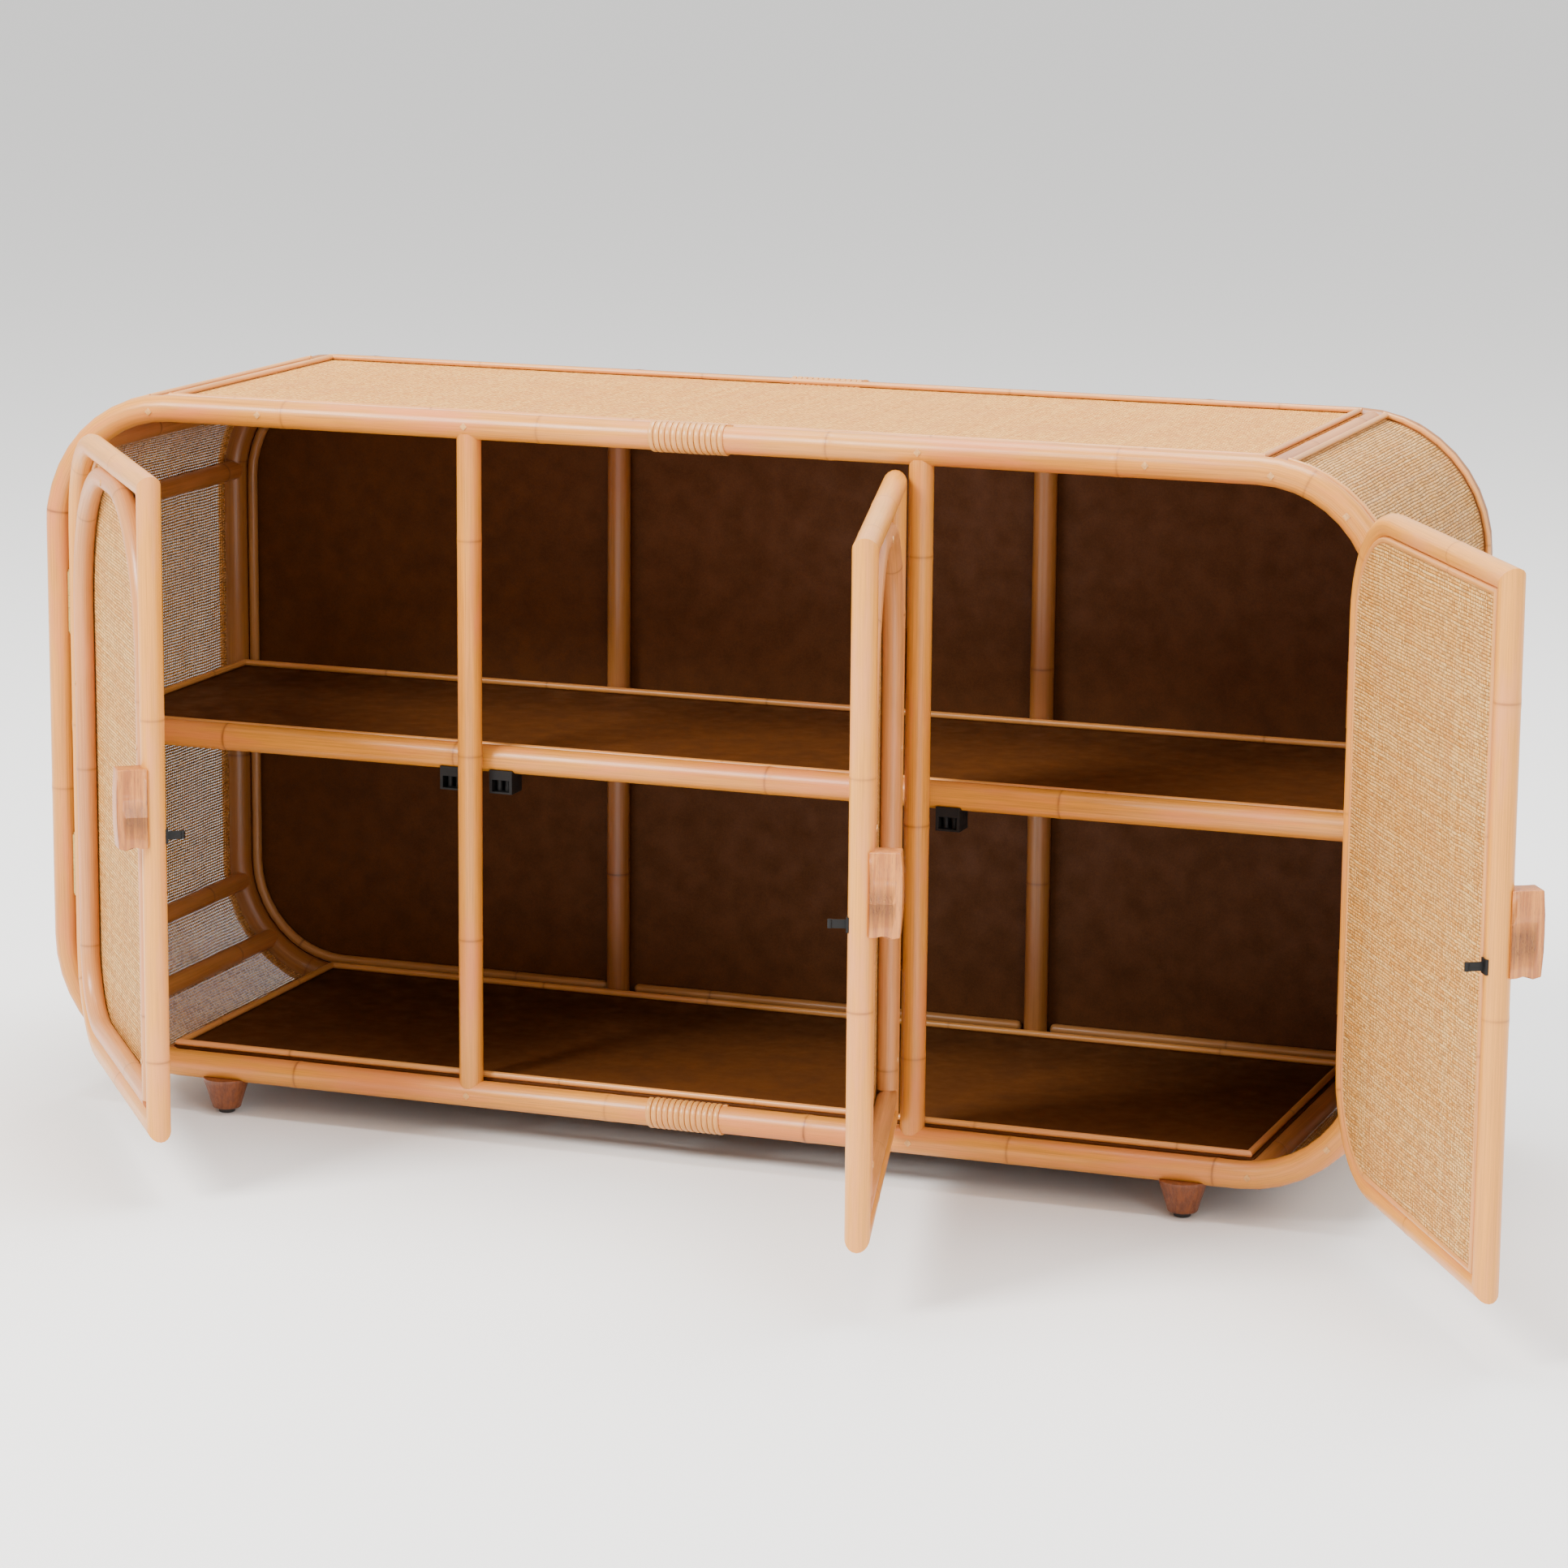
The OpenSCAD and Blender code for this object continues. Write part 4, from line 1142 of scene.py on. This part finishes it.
def mitred(bm, x0, z0, x1, z1, place, r, start=True, end=True, **kw):
    """A straight length whose ends are mitred, for a frame walked with its inside on the left."""
    d = Vector((x1 - x0, z1 - z0)).normalized()
    m = Vector((-d.y, d.x))
    cs = tuple((m - d) * N45) if start else None
    ce = tuple((m + d) * N45) if end else None
    return grow_pole(bm, straight(x0, z0, x1, z1), place, r, over=r, cut_start=cs, cut_end=ce, **kw)


class CABINET_OT_door_frames(bpy.types.Operator):
    """Make each door's outer frame and its free stile"""

    bl_idname = "cane_cabinet.door_frames"
    bl_label = "Door frames"

    def execute(self, context):
        for i, door in enumerate(DOORS):
            xf, xh, kind = door_edges(door)
            place = door_plane(door, HINGE_OUT)
            bm = bmesh.new()
            if kind == "mid":
                mitred(bm, xh, DZ, xf, DZ, place, DR, seed=300)
                mitred(bm, xf, -DZ, xh, -DZ, place, DR, seed=301)
                mitred(bm, xh, -DZ, xh, DZ, place, DR, seed=302)
            else:
                rc = DOOR_RC
                t = Track(xf, DZ, 0).line(xh - rc - xf).bend(rc, -90).line(2 * (DZ - rc)).bend(rc, -90).line(xh - rc - xf)
                grow_pole(bm, t, place, DR, seed=310 + 5 * i, over=DR, cut_start=(-N45, -N45), cut_end=(-N45, N45))
            publish(f"{door}_frame_poles", bm, "door_pole", f"door_{door}", [f"{door}_door_frame"])
            bm = bmesh.new()
            mitred(bm, xf, DZ, xf, -DZ, place, DR, seed=330 + i)
            publish(f"{door}_free_stile", bm, "door_pole", f"door_{door}", [f"{door}_door_stile"])
        return {"FINISHED"}


def door_outline(door, inset, steps=12):
    """Points of the door's outline, a distance in from the middle of its poles, in (x, z)."""
    xf, xh, kind = door_edges(door)
    x0, x1, z = xf + inset, xh - inset, DZ - inset
    if kind == "mid":
        return [(x0, -z), (x1, -z), (x1, z), (x0, z)]
    rc = DOOR_RC - inset
    pts = [(x0, -z)]
    for a0, cz in ((-90, -z + rc), (0, z - rc)):
        for i in range(steps + 1):
            a = math.radians(a0 + 90 * i / steps)
            pts.append((x1 - rc + rc * math.cos(a), cz + rc * math.sin(a)))
    return pts + [(x0, z)]


class CABINET_OT_door_webbing(bpy.types.Operator):
    """Fit each door's webbing panel and the bead that holds it"""

    bl_idname = "cane_cabinet.door_webbing"
    bl_label = "Door webbing"

    def execute(self, context):
        for i, door in enumerate(DOORS):
            xf, xh, kind = door_edges(door)
            bm = bmesh.new()
            lay = bm.verts.layers.float_vector.new("lay")
            verts = [bm.verts.new((x, HINGE_OUT + SHEET_Y, z)) for x, z in door_outline(door, SHEET_IN - 0.6)]
            for v in verts:
                v[lay] = Vector((v.co.x * MM, v.co.z * MM, 0))
            face = bm.faces.new(verts)
            ext = bmesh.ops.extrude_face_region(bm, geom=[face])["geom"]
            bmesh.ops.translate(bm, vec=(0, 1.4, 0), verts=[g for g in ext if isinstance(g, bmesh.types.BMVert)])
            move_to(bm, door_place(door))
            publish(f"{door}_webbing", bm, "door_webbing", f"door_{door}", [f"{door}_door_panel"], smooth=False)
            bm = bmesh.new()
            place = door_plane(door, HINGE_OUT + BEAD_Y)
            x0, x1, z, r = xf + BEAD_IN, xh - BEAD_IN, DZ - BEAD_IN, BEAD_R
            kw = {"sides": 12, "swell": 0.5}
            if kind == "mid":
                mitred(bm, x1, z, x0, z, place, r, seed=340, **kw)
                mitred(bm, x0, -z, x1, -z, place, r, seed=341, **kw)
                mitred(bm, x1, -z, x1, z, place, r, seed=342, **kw)
            else:
                rc = DOOR_RC - BEAD_IN
                t = Track(x0, z, 0).line(x1 - rc - x0).bend(rc, -90).line(2 * (z - rc)).bend(rc, -90).line(x1 - rc - x0)
                grow_pole(bm, t, place, r, seed=345 + i, over=r, cut_start=(-N45, -N45), cut_end=(-N45, N45), **kw)
            mitred(bm, x0, z, x0, -z, place, r, seed=350 + i, **kw)
            publish(f"{door}_inner_bead", bm, "bead_cane", f"door_{door}", [f"{door}_door_bead"])
        return {"FINISHED"}


class CABINET_OT_door_arches(bpy.types.Operator):
    """Bend the arch inside each door's frame"""

    bl_idname = "cane_cabinet.door_arches"
    bl_label = "Door arches"

    def execute(self, context):
        for i, door in enumerate(DOORS):
            xf, xh, kind = door_edges(door)
            place = door_plane(door, HINGE_OUT + ARCH_Y)
            x0, x1, z, R = xf + ARCH_IN, xh - ARCH_IN, DZ - ARCH_IN, ARCH_R
            bm = bmesh.new()
            low = z - AR if kind == "mid" else z - 0.5
            t = Track(x0, -low, 90).line(low + z - R).bend(R, -90).line(x1 - x0 - 2 * R).bend(R, -90)
            if kind == "mid":
                t.line(z - R + low)
                grow_pole(bm, t, place, AR, seed=360 + i)
                grow_pole(bm, straight(x0 - AR, -z, x1 + AR, -z), place, AR, seed=364)
            else:
                rc = DOOR_RC - ARCH_IN
                t.line(z - R + z - rc).bend(rc, -90).line(x1 - rc - x0)
                grow_pole(bm, t, place, AR, seed=370 + i)
            publish(f"{door}_bent_arch", bm, "arch_pole", f"door_{door}", [f"{door}_door_arch"])
        return {"FINISHED"}


class CABINET_OT_door_pulls(bpy.types.Operator):
    """Shape the wooden pull on each door's free stile"""

    bl_idname = "cane_cabinet.door_pulls"
    bl_label = "Door pulls"

    def execute(self, context):
        outline = [(-12.4, -7.5), (-12.4, -14), (-11.8, -19), (-11.6, -24), (-11.8, -29), (-12.4, -34), (-12.4, -38)]
        outline = outline + [(-x, y) for x, y in reversed(outline)]
        for door in DOORS:
            xf, _, _ = door_edges(door)
            bm = bmesh.new()
            face = bm.faces.new([bm.verts.new((x, y, -34)) for x, y in outline])
            faces = [face]
            for z in (-33, -17, 0, 17, 33):
                ext = bmesh.ops.extrude_face_region(bm, geom=faces)["geom"]
                faces = [g for g in ext if isinstance(g, bmesh.types.BMFace)]
                moved = [g for g in ext if isinstance(g, bmesh.types.BMVert)]
                bmesh.ops.translate(bm, vec=(0, 0, z - moved[0].co.z), verts=moved)
            for v in bm.verts:
                v.co.z *= 40.0 / 34.0 if abs(v.co.z) > 32 else 1.0
            for v in bm.verts:
                if v.co.y < -30:
                    v.co.y += 1.9 * (abs(v.co.z) / 40.0) ** 3
            bmesh.ops.remove_doubles(bm, verts=bm.verts, dist=1.2)
            bmesh.ops.recalc_face_normals(bm, faces=bm.faces)
            hard = [e for e in bm.edges if len(e.link_faces) == 2 and e.calc_face_angle(0) > math.radians(50)]
            bmesh.ops.bevel(bm, geom=hard, offset=1.1, segments=3, profile=0.5, affect="EDGES", material=-1, clamp_overlap=True)
            grain_by(bm, shift={"left": 0.1, "middle": 0.4, "right": 0.8}[door])
            bmesh.ops.translate(bm, vec=(xf, HINGE_OUT, 6), verts=bm.verts)
            move_to(bm, door_place(door))
            publish(f"{door}_pull", bm, "pull_wood", f"door_{door}", [f"{door}_door_handle"])
        return {"FINISHED"}


class CABINET_OT_door_pegs(bpy.types.Operator):
    """Drive the pegs that join each arch to its frame, on the front face"""

    bl_idname = "cane_cabinet.door_pegs"
    bl_label = "Door pegs"

    def execute(self, context):
        for door in DOORS:
            xf, xh, kind = door_edges(door)
            x0, x1, z = xf + ARCH_IN, xh - ARCH_IN, DZ - ARCH_IN
            face = Matrix(((1, 0, 0, 0), (0, 0, -1, HINGE_OUT - DR - 0.1), (0, 1, 0, 0), (0, 0, 0, 1)))
            bm = bmesh.new()
            spots = [(x0, 60), (x1, 60), ((x0 + x1) / 2, z), (x0, -z + 40)]
            if kind == "mid":
                spots.append((x1, -z + 40))
            for x, zz in spots:
                add_peg(bm, door_place(door) @ Matrix.Translation((x, 0, zz)) @ face, 2.5)
            publish(f"{door}_arch_pegs", bm, "peg_wood", f"door_{door}")
        return {"FINISHED"}


# ---- stage ------------------------------------------------------------------------------


class CABINET_OT_stage(bpy.types.Operator):
    """Set the pale floor, the soft lights and the camera"""

    bl_idname = "cane_cabinet.stage"
    bl_label = "Stage"

    def execute(self, context):
        scene = context.scene
        bm = bmesh.new()
        bmesh.ops.create_grid(bm, x_segments=1, y_segments=1, size=45.0)
        mesh = bpy.data.meshes.new("floor")
        bm.to_mesh(mesh)
        bm.free()
        floor = bpy.data.objects.new("floor", mesh)
        scene.collection.objects.link(floor)
        mat, m, bsdf = new_material("floor_paper")
        bsdf.inputs["Base Color"].default_value = (0.86, 0.86, 0.855, 1)
        bsdf.inputs["Roughness"].default_value = 0.9
        mesh.materials.append(mat)

        world = bpy.data.worlds.new("studio")
        world.use_nodes = True
        world.node_tree.nodes["Background"].inputs[0].default_value = (1.0, 0.99, 0.975, 1)
        world.node_tree.nodes["Background"].inputs[1].default_value = 1.25
        scene.world = world
        for name, spot, aim, size, power, tint in (
            ("key", (-2.6, -4.2, 4.4), (0.1, 0, 0.4), 2.2, 640, (1.0, 0.97, 0.93)),
            ("fill", (4.2, -3.4, 2.6), (0.3, 0, 0.4), 3.0, 150, (1.0, 0.985, 0.97)),
            ("top", (0.2, 0.6, 4.8), (0.1, 0, 0.3), 3.0, 380, (1.0, 1.0, 1.0)),
        ):
            lamp = bpy.data.lights.new(name, "AREA")
            lamp.shape = "SQUARE"
            lamp.size = size
            lamp.energy = power
            lamp.color = tint
            obj = bpy.data.objects.new(name, lamp)
            obj.location = spot
            obj.rotation_euler = (Vector(aim) - Vector(spot)).to_track_quat("-Z", "Y").to_euler()
            scene.collection.objects.link(obj)

        a, e, roll = (math.radians(x) for x in (20.15, 11.43, 0.5))
        back = Vector((math.sin(a) * math.cos(e), -math.cos(a) * math.cos(e), math.sin(e)))
        right = Vector((math.cos(a), math.sin(a), 0))
        up = back.cross(right)
        r2 = math.cos(roll) * right + math.sin(roll) * up
        u2 = -math.sin(roll) * right + math.cos(roll) * up
        cam = bpy.data.cameras.new("camera")
        cam.sensor_width = 36.0
        cam.lens = 114.15
        cam.clip_end = 200.0
        eye = bpy.data.objects.new("camera", cam)
        rot = Matrix((r2, u2, back)).transposed().to_4x4()
        eye.matrix_world = Matrix.Translation((1.7736, -4.7623, 1.3824)) @ rot
        scene.collection.objects.link(eye)
        scene.camera = eye
        return {"FINISHED"}


# ---- add-on -----------------------------------------------------------------------------


PIECES = [
    CABINET_OT_rings,
    CABINET_OT_bindings,
    CABINET_OT_uprights,
    CABINET_OT_shelf_poles,
    CABINET_OT_cross_poles,
    CABINET_OT_webbing,
    CABINET_OT_webbing_beads,
    CABINET_OT_boards,
    CABINET_OT_back_strips,
    CABINET_OT_feet,
    CABINET_OT_pegs,
    CABINET_OT_fittings,
    CABINET_OT_door_frames,
    CABINET_OT_door_webbing,
    CABINET_OT_door_arches,
    CABINET_OT_door_pulls,
    CABINET_OT_door_pegs,
    CABINET_OT_stage,
]


class CABINET_PT_panel(bpy.types.Panel):
    """Lists the cabinet's pieces in the order they are made"""

    bl_label = "Cane Cabinet"
    bl_idname = "CABINET_PT_panel"
    bl_space_type = "VIEW_3D"
    bl_region_type = "UI"
    bl_category = "Cane Cabinet"

    def draw(self, context):
        for group_name in ("cabinet_colours", "cabinet_detail"):
            props = getattr(context.scene, group_name)
            box = self.layout.box()
            for key in props.__annotations__:
                box.prop(props, key)
        for cls in PIECES:
            self.layout.operator(cls.bl_idname)


def register():
    for cls in [CabinetColours, CabinetDetail] + PIECES + [CABINET_PT_panel]:
        bpy.utils.register_class(cls)
    bpy.types.Scene.cabinet_colours = PointerProperty(type=CabinetColours)
    bpy.types.Scene.cabinet_detail = PointerProperty(type=CabinetDetail)


def unregister():
    del bpy.types.Scene.cabinet_detail
    del bpy.types.Scene.cabinet_colours
    for cls in reversed([CabinetColours, CabinetDetail] + PIECES + [CABINET_PT_panel]):
        bpy.utils.unregister_class(cls)


def main():
    register()
    for cls in PIECES:
        group_id, name = cls.bl_idname.split(".")
        if getattr(getattr(bpy.ops, group_id), name)() != {"FINISHED"}:
            raise RuntimeError(f"{cls.bl_label} was not finished")
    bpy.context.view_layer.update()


if __name__ == "__main__":
    main()
